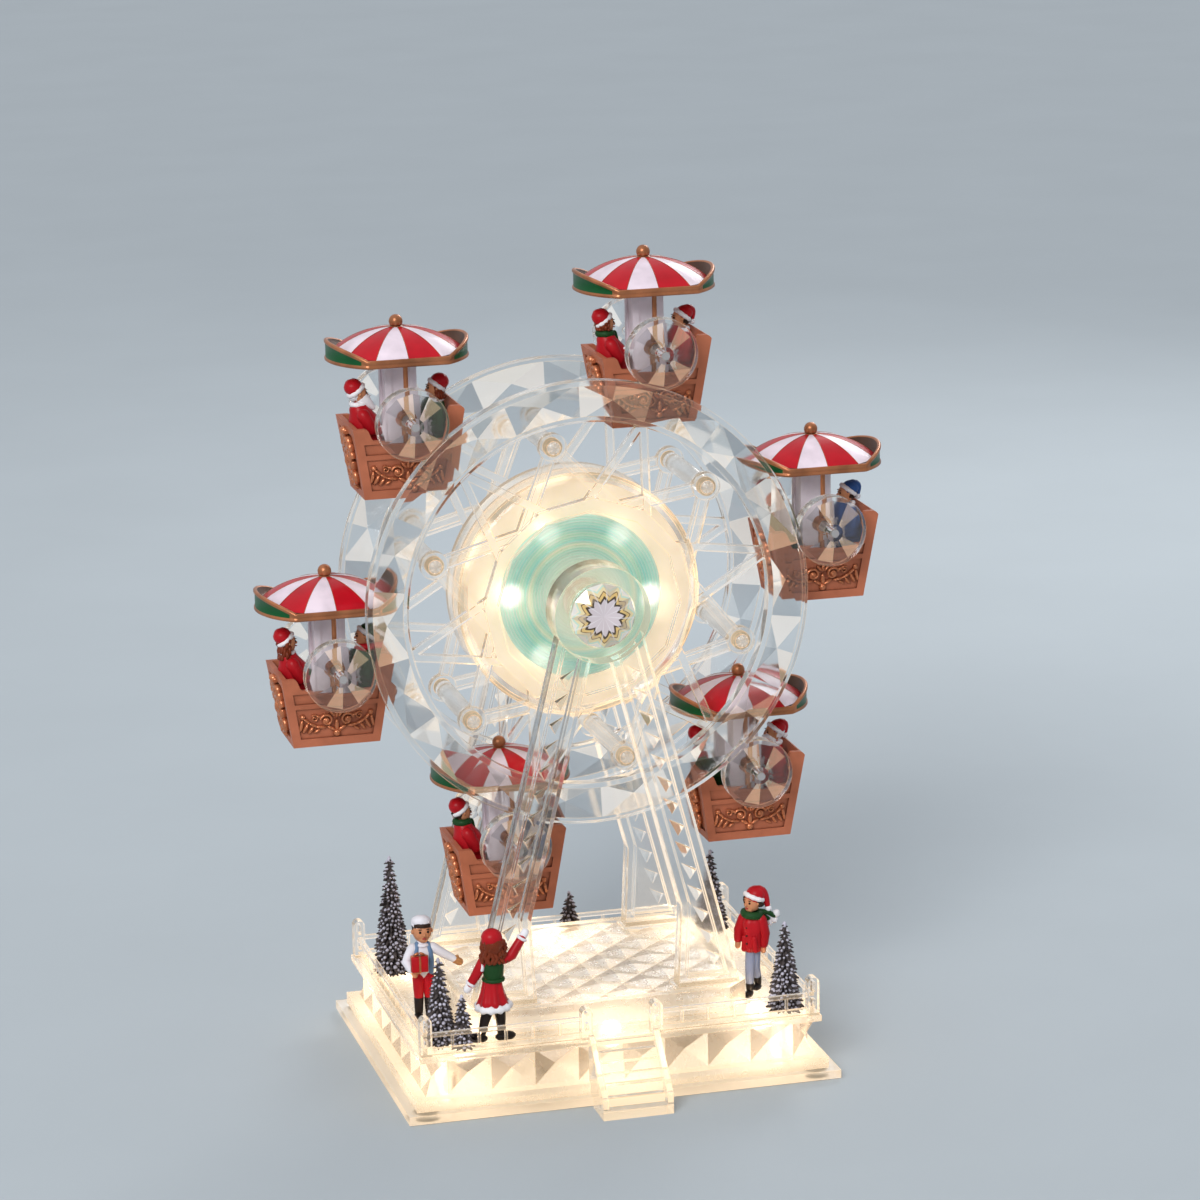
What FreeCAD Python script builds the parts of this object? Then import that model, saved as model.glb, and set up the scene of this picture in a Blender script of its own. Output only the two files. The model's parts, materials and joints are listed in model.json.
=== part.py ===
"""Clear plastic musical Ferris wheel with six hanging gondolas.

The wheel turns on an axle between two A frames that stand on a lit, diamond cut base.
Front is -Y, up is +Z, and the origin is the middle of the base's underside.
"""
import FreeCAD, Part
import math
import os

V = FreeCAD.Vector

DIMENSIONS = (
    ("axle_height", 193.7, "axle above the table"),
    ("rim_radius", 90.0, "outer radius of a side frame's rim"),
    ("rim_bore", 73.5, "inner radius of the rim"),
    ("rim_lip", 2.2, "width of the plain lips along the rim's edges"),
    ("frame_gap", 48.0, "clear width between the two side frames"),
    ("frame_thick", 5.0, "depth of one side frame"),
    ("facet_depth", 3.0, "depth of the star cuts in the rim"),
    ("facet_count", 18, "star cuts round the rim"),
    ("wheel_angle", 12.0, "angle of the first pivot at rest"),
    ("gondola_count", 6, "gondolas on the wheel"),
    ("pivot_circle", 103.1, "radius of the circle of gondola pivots"),
    ("medallion_radius", 14.2, "round pivot medallion"),
    ("medallion_back", 22.0, "back of a medallion from the wheel's middle plane"),
    ("medallion_eye", 3.6, "flat middle of a medallion"),
    ("medallion_thick", 6.0, "plain depth of a medallion"),
    ("medallion_crown", 2.6, "height of a medallion's facets"),
    ("medallion_sides", 12, "facets round a medallion"),
    ("pin_radius", 1.6, "gondola pivot pin"),
    ("pin_nub", 1.2, "how far the pin shows in front of its medallion"),
    ("run_clear", 0.06, "radial running clearance"),
    ("seat_clear", 0.05, "radial clearance of a fixed fit"),
    ("spoke_width", 3.0, "narrow spokes from a pivot to the hub"),
    ("spoke_depth", 3.4, "depth of spokes and star bars"),
    ("spoke_spread", 22.0, "angle between a pivot and its spokes' feet"),
    ("spoke_foot", 38.0, "radius of the spokes' feet"),
    ("bar_width", 5.0, "star bars between strut and hub"),
    ("bar_groove", 2.6, "width of the groove along a star bar"),
    ("bar_groove_depth", 1.2, "depth of that groove"),
    ("bar_foot", 40.0, "radius of the star bars' feet"),
    ("strut_circle", 65.5, "radius of the circle of cross struts"),
    ("strut_radius", 3.7, "cross strut"),
    ("strut_spigot", 2.2, "strut end in its seat"),
    ("strut_head", 2.6, "height of a strut's domed head"),
    ("strut_seat", 5.6, "round seat of a strut on the frame"),
    ("hub_ring_radius", 43.0, "twelve sided hub ring"),
    ("hub_ring_width", 5.6, "radial width of the hub ring"),
    ("hub_sides", 12, "sides of the hub ring"),
    ("web_thick", 1.6, "clear web inside the hub ring"),
    ("collar_radius", 9.0, "hub collar round the axle"),
    ("collar_out", 2.0, "collar in front of its frame"),
    ("collar_in", 9.5, "collar behind its frame"),
    ("drum_radius", 49.7, "light drum in the middle of the wheel"),
    ("drum_depth", 25.0, "depth of the light drum"),
    ("drum_wall", 2.0, "wall of the drum"),
    ("drum_edge", 2.0, "chamfer round the drum"),
    ("shimmer_radius", 33.0, "grooved reflecting disc"),
    ("shimmer_thick", 0.8, "thickness of the grooved disc"),
    ("shimmer_groove", 3.0, "pitch of the disc's grooves"),
    ("led_circle", 28.6, "radius of the circle of lights"),
    ("led_radius", 2.5, "one light"),
    ("led_height", 5.0, "height of one light"),
    ("led_count", 6, "lights in the drum"),
    ("board_thick", 1.6, "circuit boards"),
    ("board_bore", 20.0, "hole in the drum's light board"),
    ("board_grip", 0.6, "how far the drum's board is held by its shells"),
    ("stub_radius", 5.0, "hollow axle stub at the front"),
    ("stub_bore", 2.5, "wire way through the stub"),
    ("stub_flange", 8.0, "flange of the stub inside the drum"),
    ("flange_thick", 1.6, "thickness of that flange"),
    ("shaft_radius", 2.5, "drive shaft at the back"),
    ("shaft_engage", 7.0, "shaft length inside the gearmotor"),
    ("motor_radius", 8.0, "motor can"),
    ("motor_length", 9.4, "length of the motor can"),
    ("gearbox_radius", 11.0, "gearbox"),
    ("gearbox_length", 8.5, "length of the gearbox"),
    ("leg_plane", 41.0, "middle of an A frame from the middle of the wheel"),
    ("leg_thick", 8.0, "depth of an A frame's legs"),
    ("leg_top_out", 14.8, "outer edge of a leg at axle height"),
    ("leg_foot_out", 55.0, "outer edge of a leg at its foot"),
    ("leg_foot_in", 29.5, "inner edge of a leg at its foot"),
    ("kink_in", 31.3, "inner edge of a leg at its kink"),
    ("kink_rise", 34.0, "kink above the platform"),
    ("leg_crotch", 2.0, "meeting of the inner edges below the axle"),
    ("leg_rib", 3.6, "rib along a leg's edges"),
    ("leg_web", 2.4, "web between the ribs"),
    ("tooth_pitch", 9.6, "pitch of the cut teeth down a leg"),
    ("tooth_width", 5.4, "width of a cut tooth"),
    ("tooth_rise", 2.4, "height of a cut tooth"),
    ("boss_radius", 19.4, "round boss at the top of an A frame"),
    ("boss_front", 48.0, "front of the boss from the middle of the wheel"),
    ("boss_back", 33.5, "back of the boss from the middle of the wheel"),
    ("crystal_radius", 13.0, "faceted cap in the boss"),
    ("crystal_seat", 2.4, "depth of the cap's seat"),
    ("crystal_rise", 3.0, "height of the cap above the boss"),
    ("crystal_clear", 0.2, "gap round the cap"),
    ("foot_height", 0.8, "round feet under the bottom plate"),
    ("foot_radius", 5.0, "radius of a foot"),
    ("foot_inset", 8.5, "feet from the bottom plate's edges"),
    ("plate_width", 177.3, "bottom plate, left to right"),
    ("plate_depth", 145.8, "bottom plate, front to back"),
    ("plate_thick", 3.4, "bottom plate"),
    ("step_inset", 4.0, "step in from the bottom plate's edge"),
    ("step_height", 4.6, "height of that step"),
    ("ledge_width", 165.1, "deck ledge, left to right"),
    ("ledge_depth", 133.8, "deck ledge, front to back"),
    ("ledge_thick", 2.4, "deck thickness"),
    ("deck_height", 25.9, "top of the deck above the table"),
    ("wall_inset", 2.5, "diamond walls in from the ledge"),
    ("wall_thick", 5.0, "diamond walls"),
    ("star_depth", 3.0, "depth of the walls' star cuts"),
    ("front_diamonds", 9, "diamonds along the front"),
    ("side_diamonds", 7, "diamonds along a side"),
    ("side_walk", 24.5, "deck left of and right of the platform"),
    ("end_walk", 15.9, "deck in front of and behind the platform"),
    ("platform_corner", 9.0, "cut corners of the platform"),
    ("platform_height", 10.1, "platform above the deck"),
    ("platform_wall", 2.5, "platform walls and skin"),
    ("quilt_pitch", 14.0, "pitch of the quilting"),
    ("quilt_rise", 1.3, "height of one quilt diamond"),
    ("rail_inset", 3.0, "railing in from the ledge's edge"),
    ("curb_height", 2.6, "solid curb under the railing"),
    ("curb_thick", 1.8, "thickness of curb and rail"),
    ("rail_height", 9.0, "top of the railing above the deck"),
    ("rail_thick", 1.6, "height of the top rail"),
    ("baluster_width", 1.1, "one baluster"),
    ("baluster_pitch", 10.8, "spacing of the balusters"),
    ("post_width", 4.6, "round topped posts"),
    ("post_slot", 1.3, "slots in the posts"),
    ("post_height", 16.0, "corner posts above the deck"),
    ("gate_post_height", 13.0, "posts beside the stairs"),
    ("stair_width", 24.0, "treads between the stringers"),
    ("stringer", 2.3, "thickness of a stringer"),
    ("stringer_cover", 2.2, "stringers above the treads"),
    ("stair_run", 22.0, "stairs in front of the ledge"),
    ("stair_count", 7, "risers"),
    ("stair_toe", 2.2, "landing in front of the last riser"),
    ("screw_x", 69.0, "case screws from the middle, left and right"),
    ("screw_y", 53.0, "case screws from the middle, front and back"),
    ("screw_radius", 1.4, "case screw shank"),
    ("screw_head", 2.8, "case screw head"),
    ("screw_head_height", 1.6, "height of the head"),
    ("screw_length", 12.0, "shank length"),
    ("screw_boss", 3.6, "bosses for the case screws"),
    ("cell_radius", 7.1, "size AA cell"),
    ("cell_length", 49.5, "length of a cell without its tip"),
    ("cell_tip", 1.0, "length of a cell's tip"),
    ("cell_tip_radius", 2.6, "radius of a cell's tip"),
    ("cell_pitch", 14.8, "spacing of the cells"),
    ("cell_count", 3, "cells"),
    ("cell_x", 36.0, "middle of the battery compartment, left to right"),
    ("cell_y", 14.0, "middle of the battery compartment, front to back"),
    ("cell_lift", 0.3, "gap under the cells"),
    ("contact_width", 9.0, "battery contact plates"),
    ("contact_thick", 0.6, "thickness of a contact plate"),
    ("contact_spring", 3.0, "wide end of a contact's spring"),
    ("bay_wall", 1.6, "walls of the battery bay"),
    ("bay_height", 15.5, "height of the battery bay's walls"),
    ("door_clear", 0.3, "gap round the battery door"),
    ("door_thick", 3.0, "battery door"),
    ("door_pin", 0.8, "hinge pin of the battery door"),
    ("door_pin_length", 2.0, "length of a hinge pin"),
    ("latch_width", 8.0, "finger notch of the battery door"),
    ("speaker_x", -44.0, "speaker, left to right"),
    ("speaker_y", 18.0, "speaker, front to back"),
    ("speaker_radius", 18.0, "speaker frame"),
    ("speaker_height", 4.5, "depth of the speaker's frame"),
    ("magnet_radius", 9.0, "speaker magnet"),
    ("magnet_height", 5.0, "height of the magnet"),
    ("grille_hole", 1.3, "hole in the speaker grille"),
    ("grille_circle", 8.0, "circle of grille holes"),
    ("grille_count", 8, "grille holes on the circle"),
    ("sound_x", -22.0, "sound board, left to right"),
    ("sound_y", -34.0, "sound board, front to back"),
    ("sound_width", 44.0, "sound board width"),
    ("sound_depth", 26.0, "sound board depth"),
    ("sound_post", 2.0, "posts under the sound board"),
    ("sound_lift", 6.0, "sound board above the bottom plate"),
    ("chip_size", 9.0, "sound chip"),
    ("chip_height", 1.8, "height of the chip"),
    ("switch_x", -30.0, "slide switch, left to right"),
    ("switch_y", -34.0, "slide switch, front to back"),
    ("switch_stem", 3.0, "width of the slide switch's stem"),
    ("switch_travel", 4.0, "travel of the slide switch"),
    ("switch_clear", 0.3, "gap round the switch's stem"),
    ("switch_flange", 6.0, "flange that keeps the slide in its slot"),
    ("switch_flange_thick", 1.0, "thickness of that flange"),
    ("slide_gap", 0.1, "gap over and under that flange"),
    ("switch_sink", 0.6, "switch stem behind the underside"),
    ("switch_case", 10.0, "case of the switch on its board"),
    ("deck_led_radius", 3.4, "light under the deck"),
    ("deck_led_height", 3.0, "height of a light under the deck"),
    ("tub_floor", 31.0, "tub's underside below its pivot"),
    ("tub_low_x", 17.4, "half width of the tub's underside"),
    ("tub_low_y", 14.0, "half depth of the tub's underside"),
    ("tub_high_x", 22.2, "half width of the tub at pivot height"),
    ("tub_high_y", 17.5, "half depth of the tub at pivot height"),
    ("tub_left", -2.2, "top of the low seat back"),
    ("tub_right", 5.0, "top of the high seat back"),
    ("tub_dip", -7.2, "top of the sides at the step"),
    ("dip_half", 13.0, "half width of the low part of the sides"),
    ("dip_shoulder", 17.2, "start of the curve down to the step"),
    ("tub_wall", 2.2, "tub walls and floor"),
    ("tub_round", 3.0, "rounded corner of the high seat back"),
    ("panel_margin", 3.4, "frame round the tub's sunk panels"),
    ("panel_sink", 0.8, "depth of the sunk panels"),
    ("panel_split", -14.0, "rail between the upper and lower panel"),
    ("bench_top", -14.5, "top of the benches"),
    ("bench_in", 9.5, "front of the benches"),
    ("canopy_radius", 28.5, "round ends of the canopy"),
    ("canopy_half", 23.2, "flat front and back of the canopy"),
    ("band_low", 22.3, "underside of the canopy's gold band"),
    ("band_high", 25.7, "top of the gold band"),
    ("lip_high", 30.8, "top of the upturned ends"),
    ("lip_thick", 1.5, "thickness of the upturned ends"),
    ("dome_top", 34.8, "top of the dome"),
    ("dome_inset", 3.2, "dome in from the canopy's round ends"),
    ("dome_step", 0.8, "dome in from the canopy's flat front"),
    ("finial_top", 39.4, "top of the ball"),
    ("finial_radius", 2.65, "ball on the canopy"),
    ("finial_neck", 1.5, "neck under the ball"),
    ("column_width", 12.6, "square column in a gondola"),
    ("column_panel", 7.2, "width of the column's sunk panels"),
    ("column_sink", 0.7, "depth of the column's sunk panels"),
    ("column_margin", 3.0, "column panels from its ends"),
    ("rod_radius", 0.95, "gold hanger rod"),
    ("eye_radius", 2.6, "eye at the pivot"),
    ("eye_thick", 4.0, "length of the eye"),
)


def make_sheet(doc):
    """Put the driving dimensions into a spreadsheet."""
    sheet = doc.addObject("Spreadsheet::Sheet", "Dims")
    for row, (alias, value, note) in enumerate(DIMENSIONS, 1):
        sheet.set("A%d" % row, note)
        sheet.set("B%d" % row, str(value))
        sheet.setAlias("B%d" % row, alias)
    doc.recompute()
    return sheet


doc = FreeCAD.newDocument("ferris_wheel")
sheet = make_sheet(doc)
PARTS = []

# The stairs stand out in front, so every part is moved back to centre the whole footprint
CENTRING = "(Dims.ledge_depth/2+Dims.stair_run-Dims.plate_depth/2)/2"


def dim(alias):
    """Read one driving dimension."""
    return float(sheet.get(alias))


def count(alias):
    """Read one driving number of copies."""
    return int(round(dim(alias)))


def bind(item, **sizes):
    """Tie an object's properties to expressions on the sheet."""
    for name, expression in sizes.items():
        item.setExpression(name.replace("__", "."), expression)


def add_part(label, shape, place=None):
    """Add a sub-part whose shape comes from Part's own functions."""
    item = doc.addObject("Part::Feature", label)
    item.Label = label
    item.Shape = shape
    if place is None:
        place = item.Placement
    centred = FreeCAD.Placement(V(0, bound_value(CENTRING), 0), FreeCAD.Rotation())
    item.Placement = centred.multiply(place)
    PARTS.append(item)
    return item


def keep_body(body, label):
    """List a parametric body as a sub-part and centre it front to back."""
    body.Label = label
    bind(body, Placement__Base__y=CENTRING)
    PARTS.append(body)
    return body


# Sketch helpers: every corner is bound to the sheet


def new_body(name):
    return doc.addObject("PartDesign::Body", name)


def new_sketch(body, name, role):
    """Attach a sketch to one of its body's origin planes."""
    plane = [f for f in body.Origin.OriginFeatures if f.Role == role][0]
    sketch = body.newObject("Sketcher::SketchObject", name)
    sketch.AttachmentSupport = [(plane, "")]
    sketch.MapMode = "FlatFace"
    return sketch


def bound_value(expression):
    """Work out an expression of sheet aliases for a sketch's first guess."""
    holder = doc.getObject("Guess") or doc.addObject("App::FeaturePython", "Guess")
    if "Value" not in holder.PropertiesList:
        holder.addProperty("App::PropertyFloat", "Value")
    holder.setExpression("Value", expression)
    holder.recompute()
    return holder.Value


def pin_point(sketch, geometry, point, x, y):
    """Fix one point of a sketch by two expressions."""
    import Sketcher
    for kind, expression in (("DistanceX", x), ("DistanceY", y)):
        index = sketch.addConstraint(
            Sketcher.Constraint(kind, -1, 1, geometry, point, bound_value(expression)))
        sketch.setExpression("Constraints[%d]" % index, expression)


def outline(sketch, corners):
    """Draw a closed outline whose corners are pairs of expressions."""
    import Sketcher
    points = [V(bound_value(x), bound_value(y), 0) for x, y in corners]
    first = sketch.GeometryCount
    total = len(corners)
    for i in range(total):
        sketch.addGeometry(Part.LineSegment(points[i], points[(i + 1) % total]), False)
    for i in range(total):
        following = first + (i + 1) % total
        sketch.addConstraint(Sketcher.Constraint("Coincident", first + i, 2, following, 1))
    for i, (x, y) in enumerate(corners):
        pin_point(sketch, first + i, 1, x, y)


def rectangle(sketch, x_low, x_high, y_low, y_high):
    outline(sketch, [(x_low, y_low), (x_high, y_low), (x_high, y_high), (x_low, y_high)])


def circle(sketch, x, y, radius):
    import Sketcher
    centre = V(bound_value(x), bound_value(y), 0)
    index = sketch.addGeometry(Part.Circle(centre, V(0, 0, 1), bound_value(radius)), False)
    pin_point(sketch, index, 3, x, y)
    size = sketch.addConstraint(Sketcher.Constraint("Radius", index, bound_value(radius)))
    sketch.setExpression("Constraints[%d]" % size, radius)


def pad(body, sketch, name, length, midplane=False, reverse=False):
    item = body.newObject("PartDesign::Pad", name)
    item.Profile = sketch
    item.Midplane = midplane
    item.Reversed = reverse
    bind(item, Length=length)
    sketch.Visibility = False
    return item


def pocket(body, sketch, name, length, midplane=False, reverse=False):
    item = body.newObject("PartDesign::Pocket", name)
    item.Profile = sketch
    item.Midplane = midplane
    item.Reversed = reverse
    bind(item, Length=length)
    return item


def revolve(body, sketch, name):
    """Turn a sketch once round the body's Y axis."""
    item = body.newObject("PartDesign::Revolution", name)
    item.Profile = sketch
    item.ReferenceAxis = (sketch, ["V_Axis"])
    item.Angle = 360
    return item


def turned_body(name, label, corners):
    """Make a body turned round the wheel's axle from corners (radius, y)."""
    body = new_body(name)
    sketch = new_sketch(body, name + "_profile", "XY_Plane")
    outline(sketch, corners)
    revolve(body, sketch, name + "_turned")
    bind(body, Placement__Base__z="Dims.axle_height")
    return keep_body(body, label)


# Solid helpers


def face_of(points):
    return Part.Face(Part.makePolygon(list(points) + [points[0]]))


def prism(points, depth):
    """Push a flat outline along a vector."""
    return face_of(points).extrude(depth)


def solid_of(faces):
    """Sew flat faces into one solid that faces outwards."""
    shell = Part.Shell(faces)
    shell.sewShape()
    solid = Part.Solid(shell)
    if solid.Volume < 0:
        solid.reverse()
    return solid


def box(x_low, x_high, y_low, y_high, z_low, z_high):
    return Part.makeBox(x_high - x_low, y_high - y_low, z_high - z_low, V(x_low, y_low, z_low))


def tube_y(radius, y_low, y_high, x=0.0, z=0.0):
    """Cylinder along Y."""
    return Part.makeCylinder(radius, y_high - y_low, V(x, y_low, z), V(0, 1, 0))


def polar(radius, degrees, y=0.0):
    """Point in the wheel's plane, counted from +X towards +Z."""
    angle = math.radians(degrees)
    return V(radius * math.cos(angle), y, radius * math.sin(angle))


def ring_points(radius, sides, y, turn=0.0):
    return [polar(radius, turn + 360.0 * k / sides, y) for k in range(sides)]


def mirrored(shape):
    """The same shape on the other side of the wheel's middle plane."""
    return shape.mirror(V(0, 0, 0), V(0, 1, 0))


def bar_between(start, end, width, y_low, y_high):
    """Straight bar in the wheel's plane."""
    along = (end - start).normalize()
    side = V(-along.z, 0, along.x) * (width / 2.0)
    base = V(0, y_low, 0)
    corners = [start + side, end + side, end - side, start - side]
    return prism([corner + base for corner in corners], V(0, y_high - y_low, 0))


def limb(start, end, start_radius, end_radius):
    """Tapered round limb between two points."""
    along = end - start
    if abs(start_radius - end_radius) < 0.01:
        return Part.makeCylinder(start_radius, along.Length, start, along)
    return Part.makeCone(start_radius, end_radius, along.Length, start, along)


def ball(centre, radius):
    return Part.makeSphere(radius, centre)


def fused(shapes):
    return shapes[0].multiFuse(shapes[1:]).removeSplitter()


# Wheel


def pivot_angle(k):
    return dim("wheel_angle") + 360.0 * k / count("gondola_count")


def star_angles():
    """Angles of the rim's deep points; pivots lie halfway between two of them."""
    step = 360.0 / count("facet_count")
    return [dim("wheel_angle") + step * (k + 0.5) for k in range(count("facet_count"))]


def cut_rim():
    """Rim of eight sided star cuts with plain lips, the front of it towards -Y."""
    outward = -(dim("frame_gap") / 2 + dim("frame_thick"))
    inward = -dim("frame_gap") / 2
    high = dim("rim_radius") - dim("rim_lip") / 2
    low = dim("rim_bore") + dim("rim_lip") / 2
    middle = (dim("rim_radius") + dim("rim_bore")) / 2
    half = 180.0 / count("facet_count")
    faces = []
    for star in star_angles():
        deep = polar(middle, star, outward + dim("facet_depth"))
        for side in (-half, half):
            peak = polar(middle, star + side, outward)
            outer = [polar(high, star, outward), polar(high, star + side, outward)]
            inner = [polar(low, star, outward), polar(low, star + side, outward)]
            back_outer = [polar(high, star, inward), polar(high, star + side, inward)]
            back_inner = [polar(low, star, inward), polar(low, star + side, inward)]
            faces.append(face_of([deep, outer[0], outer[1]]))
            faces.append(face_of([deep, outer[1], peak]))
            faces.append(face_of([deep, peak, inner[1]]))
            faces.append(face_of([deep, inner[1], inner[0]]))
            faces.append(face_of([outer[0], outer[1], back_outer[1], back_outer[0]]))
            faces.append(face_of([inner[0], inner[1], back_inner[1], back_inner[0]]))
            faces.append(face_of([back_outer[0], back_outer[1], back_inner[1], back_inner[0]]))
    band = solid_of(faces)
    rings = []
    for radius in (dim("rim_radius"), dim("rim_bore") + dim("rim_lip")):
        ring = tube_y(radius, outward, inward)
        rings.append(ring.cut(tube_y(radius - dim("rim_lip"), outward - 1, inward + 1)))
    return [band] + rings


def medallion(angle):
    """Round, faceted bearing plate of one pivot."""
    centre = polar(dim("pivot_circle"), angle)
    sides = count("medallion_sides")
    back = -dim("medallion_back")
    plain = back - dim("medallion_thick")
    crown = plain - dim("medallion_crown")
    plate = tube_y(dim("medallion_radius"), plain, back, centre.x, centre.z)
    wide = ring_points(dim("medallion_radius") * 0.9, sides, plain)
    narrow = ring_points(dim("medallion_eye"), sides, crown)
    wires = [Part.makePolygon([p + centre for p in ring + ring[:1]]) for ring in (wide, narrow)]
    facets = Part.makeLoft(wires, True, True)
    return [plate, facets]


def medallion_face():
    """Distance of a medallion's front from the wheel's middle plane."""
    return dim("medallion_back") + dim("medallion_thick") + dim("medallion_crown")


def spokes(angle):
    """Narrow V from a pivot to the hub and the star bars from the next strut."""
    inward = -(dim("frame_gap") / 2 + 1.0)
    outward = inward - dim("spoke_depth")
    top = polar(dim("rim_bore") + dim("rim_lip"), angle)
    strut = polar(dim("strut_circle"), angle + 180.0 / count("gondola_count"))
    pieces = []
    for side in (-1, 1):
        foot = polar(dim("spoke_foot"), angle + side * dim("spoke_spread"))
        pieces.append(bar_between(top, foot, dim("spoke_width"), outward, inward))
    for k in (0, 1):
        foot = polar(dim("bar_foot"), angle + 360.0 * k / count("gondola_count"))
        bar = bar_between(strut, foot, dim("bar_width"), outward, inward)
        groove_floor = outward + dim("bar_groove_depth")
        groove = bar_between(strut, foot, dim("bar_groove"), outward - 1, groove_floor)
        pieces.append(bar.cut(groove))
    pieces.append(tube_y(dim("strut_seat"), outward, inward + 1.0, strut.x, strut.z))
    return pieces


def hub():
    """Twelve sided hub ring, clear web and the collar."""
    middle = -(dim("frame_gap") + dim("frame_thick")) / 2
    half = dim("spoke_depth") / 2 + 0.6
    turn = dim("wheel_angle") + 180.0 / count("hub_sides")
    sides = count("hub_sides")
    bore = dim("hub_ring_radius") - dim("hub_ring_width")
    ring = prism(ring_points(dim("hub_ring_radius"), sides, middle - half, turn), V(0, 2 * half, 0))
    ring = ring.cut(prism(ring_points(bore, sides, middle - half - 1, turn), V(0, 2 * half + 2, 0)))
    low = middle - dim("web_thick") / 2
    web = prism(ring_points(bore + 1.0, sides, low, turn), V(0, dim("web_thick"), 0))
    outward = -(dim("frame_gap") / 2 + dim("frame_thick") + dim("collar_out"))
    collar = tube_y(dim("collar_radius"), outward, -dim("frame_gap") / 2 + dim("collar_in"))
    return [ring, web, collar]


def side_frame(axle_radius):
    """One moulded side of the wheel, drawn at the front."""
    pieces = cut_rim() + hub()
    holes = []
    reach = dim("frame_gap") / 2 + dim("frame_thick") + 20
    for k in range(count("gondola_count")):
        angle = pivot_angle(k)
        pieces += medallion(angle) + spokes(angle)
        pivot = polar(dim("pivot_circle"), angle)
        strut = polar(dim("strut_circle"), angle + 180.0 / count("gondola_count"))
        pin_hole = dim("pin_radius") + dim("run_clear")
        spigot_hole = dim("strut_spigot") + dim("seat_clear")
        holes.append(tube_y(pin_hole, -reach, 0, pivot.x, pivot.z))
        holes.append(tube_y(spigot_hole, -reach, 0, strut.x, strut.z))
    holes.append(tube_y(axle_radius, -reach, 0))
    return fused(pieces).cut(Part.makeCompound(holes))


def cross_struts():
    """Six turned struts with domed heads."""
    middle = dim("frame_gap") / 2
    face = middle + 1.0 + dim("spoke_depth")
    radius = dim("strut_radius")
    dome = (radius ** 2 + dim("strut_head") ** 2) / (2 * dim("strut_head"))
    struts = []
    for k in range(count("gondola_count")):
        place = polar(dim("strut_circle"), pivot_angle(k) + 180.0 / count("gondola_count"))
        pieces = [tube_y(radius, -middle, middle), tube_y(dim("strut_spigot"), -face, face)]
        for side in (-1, 1):
            centre = V(0, side * (face + dim("strut_head") - dome), 0)
            outside = (face, face + dome) if side > 0 else (-face - dome, -face)
            pieces.append(ball(centre, dome).common(tube_y(radius, *outside)))
        strut = fused(pieces)
        strut.translate(place)
        struts.append(strut)
    return Part.makeCompound(struts)


# Gondola, drawn round its own pivot


def tub_half(z, low, high):
    """Half size of the tapered tub at a height."""
    return low + (high - low) * (z + dim("tub_floor")) / dim("tub_floor")


def tub_block(z_low, z_high, shrink_x=0.0, shrink_y=0.0):
    wires = []
    for z in (z_low, z_high):
        x = tub_half(z, dim("tub_low_x"), dim("tub_high_x")) - shrink_x
        y = tub_half(z, dim("tub_low_y"), dim("tub_high_y")) - shrink_y
        corners = [V(-x, -y, z), V(x, -y, z), V(x, y, z), V(-x, y, z)]
        wires.append(Part.makePolygon(corners + corners[:1]))
    return Part.makeLoft(wires, True, True)


def tub_side():
    """Outline of the tub's sides: low back, step in the middle, high rounded back."""
    y = -40.0
    left, right, dip = dim("tub_left"), dim("tub_right"), dim("tub_dip")
    near, far = dim("dip_half"), dim("dip_shoulder")
    corner = tub_half(right, dim("tub_low_x"), dim("tub_high_x"))
    radius = dim("tub_round")
    low = -dim("tub_floor") - 1.0
    wide = dim("tub_high_x") + 5.0

    def point(x, z):
        return V(x, y, z)

    def slope(x_start, z_start, x_end, z_end):
        curve = Part.BezierCurve()
        third = (x_end - x_start) * 0.55
        curve.setPoles([point(x_start, z_start), point(x_start + third, z_start),
                        point(x_end - third, z_end), point(x_end, z_end)])
        return curve.toShape()

    edges = [
        Part.makeLine(point(-wide, low), point(-wide, left)),
        Part.makeLine(point(-wide, left), point(-far, left)),
        slope(-far, left, -near, dip),
        Part.makeLine(point(-near, dip), point(near, dip)),
        slope(near, dip, far, right),
        Part.makeLine(point(far, right), point(corner - radius, right)),
        Part.Arc(point(corner - radius, right),
                 point(corner - radius * 0.29, right - radius * 0.29),
                 point(corner, right - radius)).toShape(),
        Part.makeLine(point(corner, right - radius), point(wide, right - radius)),
        Part.makeLine(point(wide, right - radius), point(wide, low)),
        Part.makeLine(point(wide, low), point(-wide, low)),
    ]
    return Part.Face(Part.Wire(edges)).extrude(V(0, 80, 0))


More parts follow.
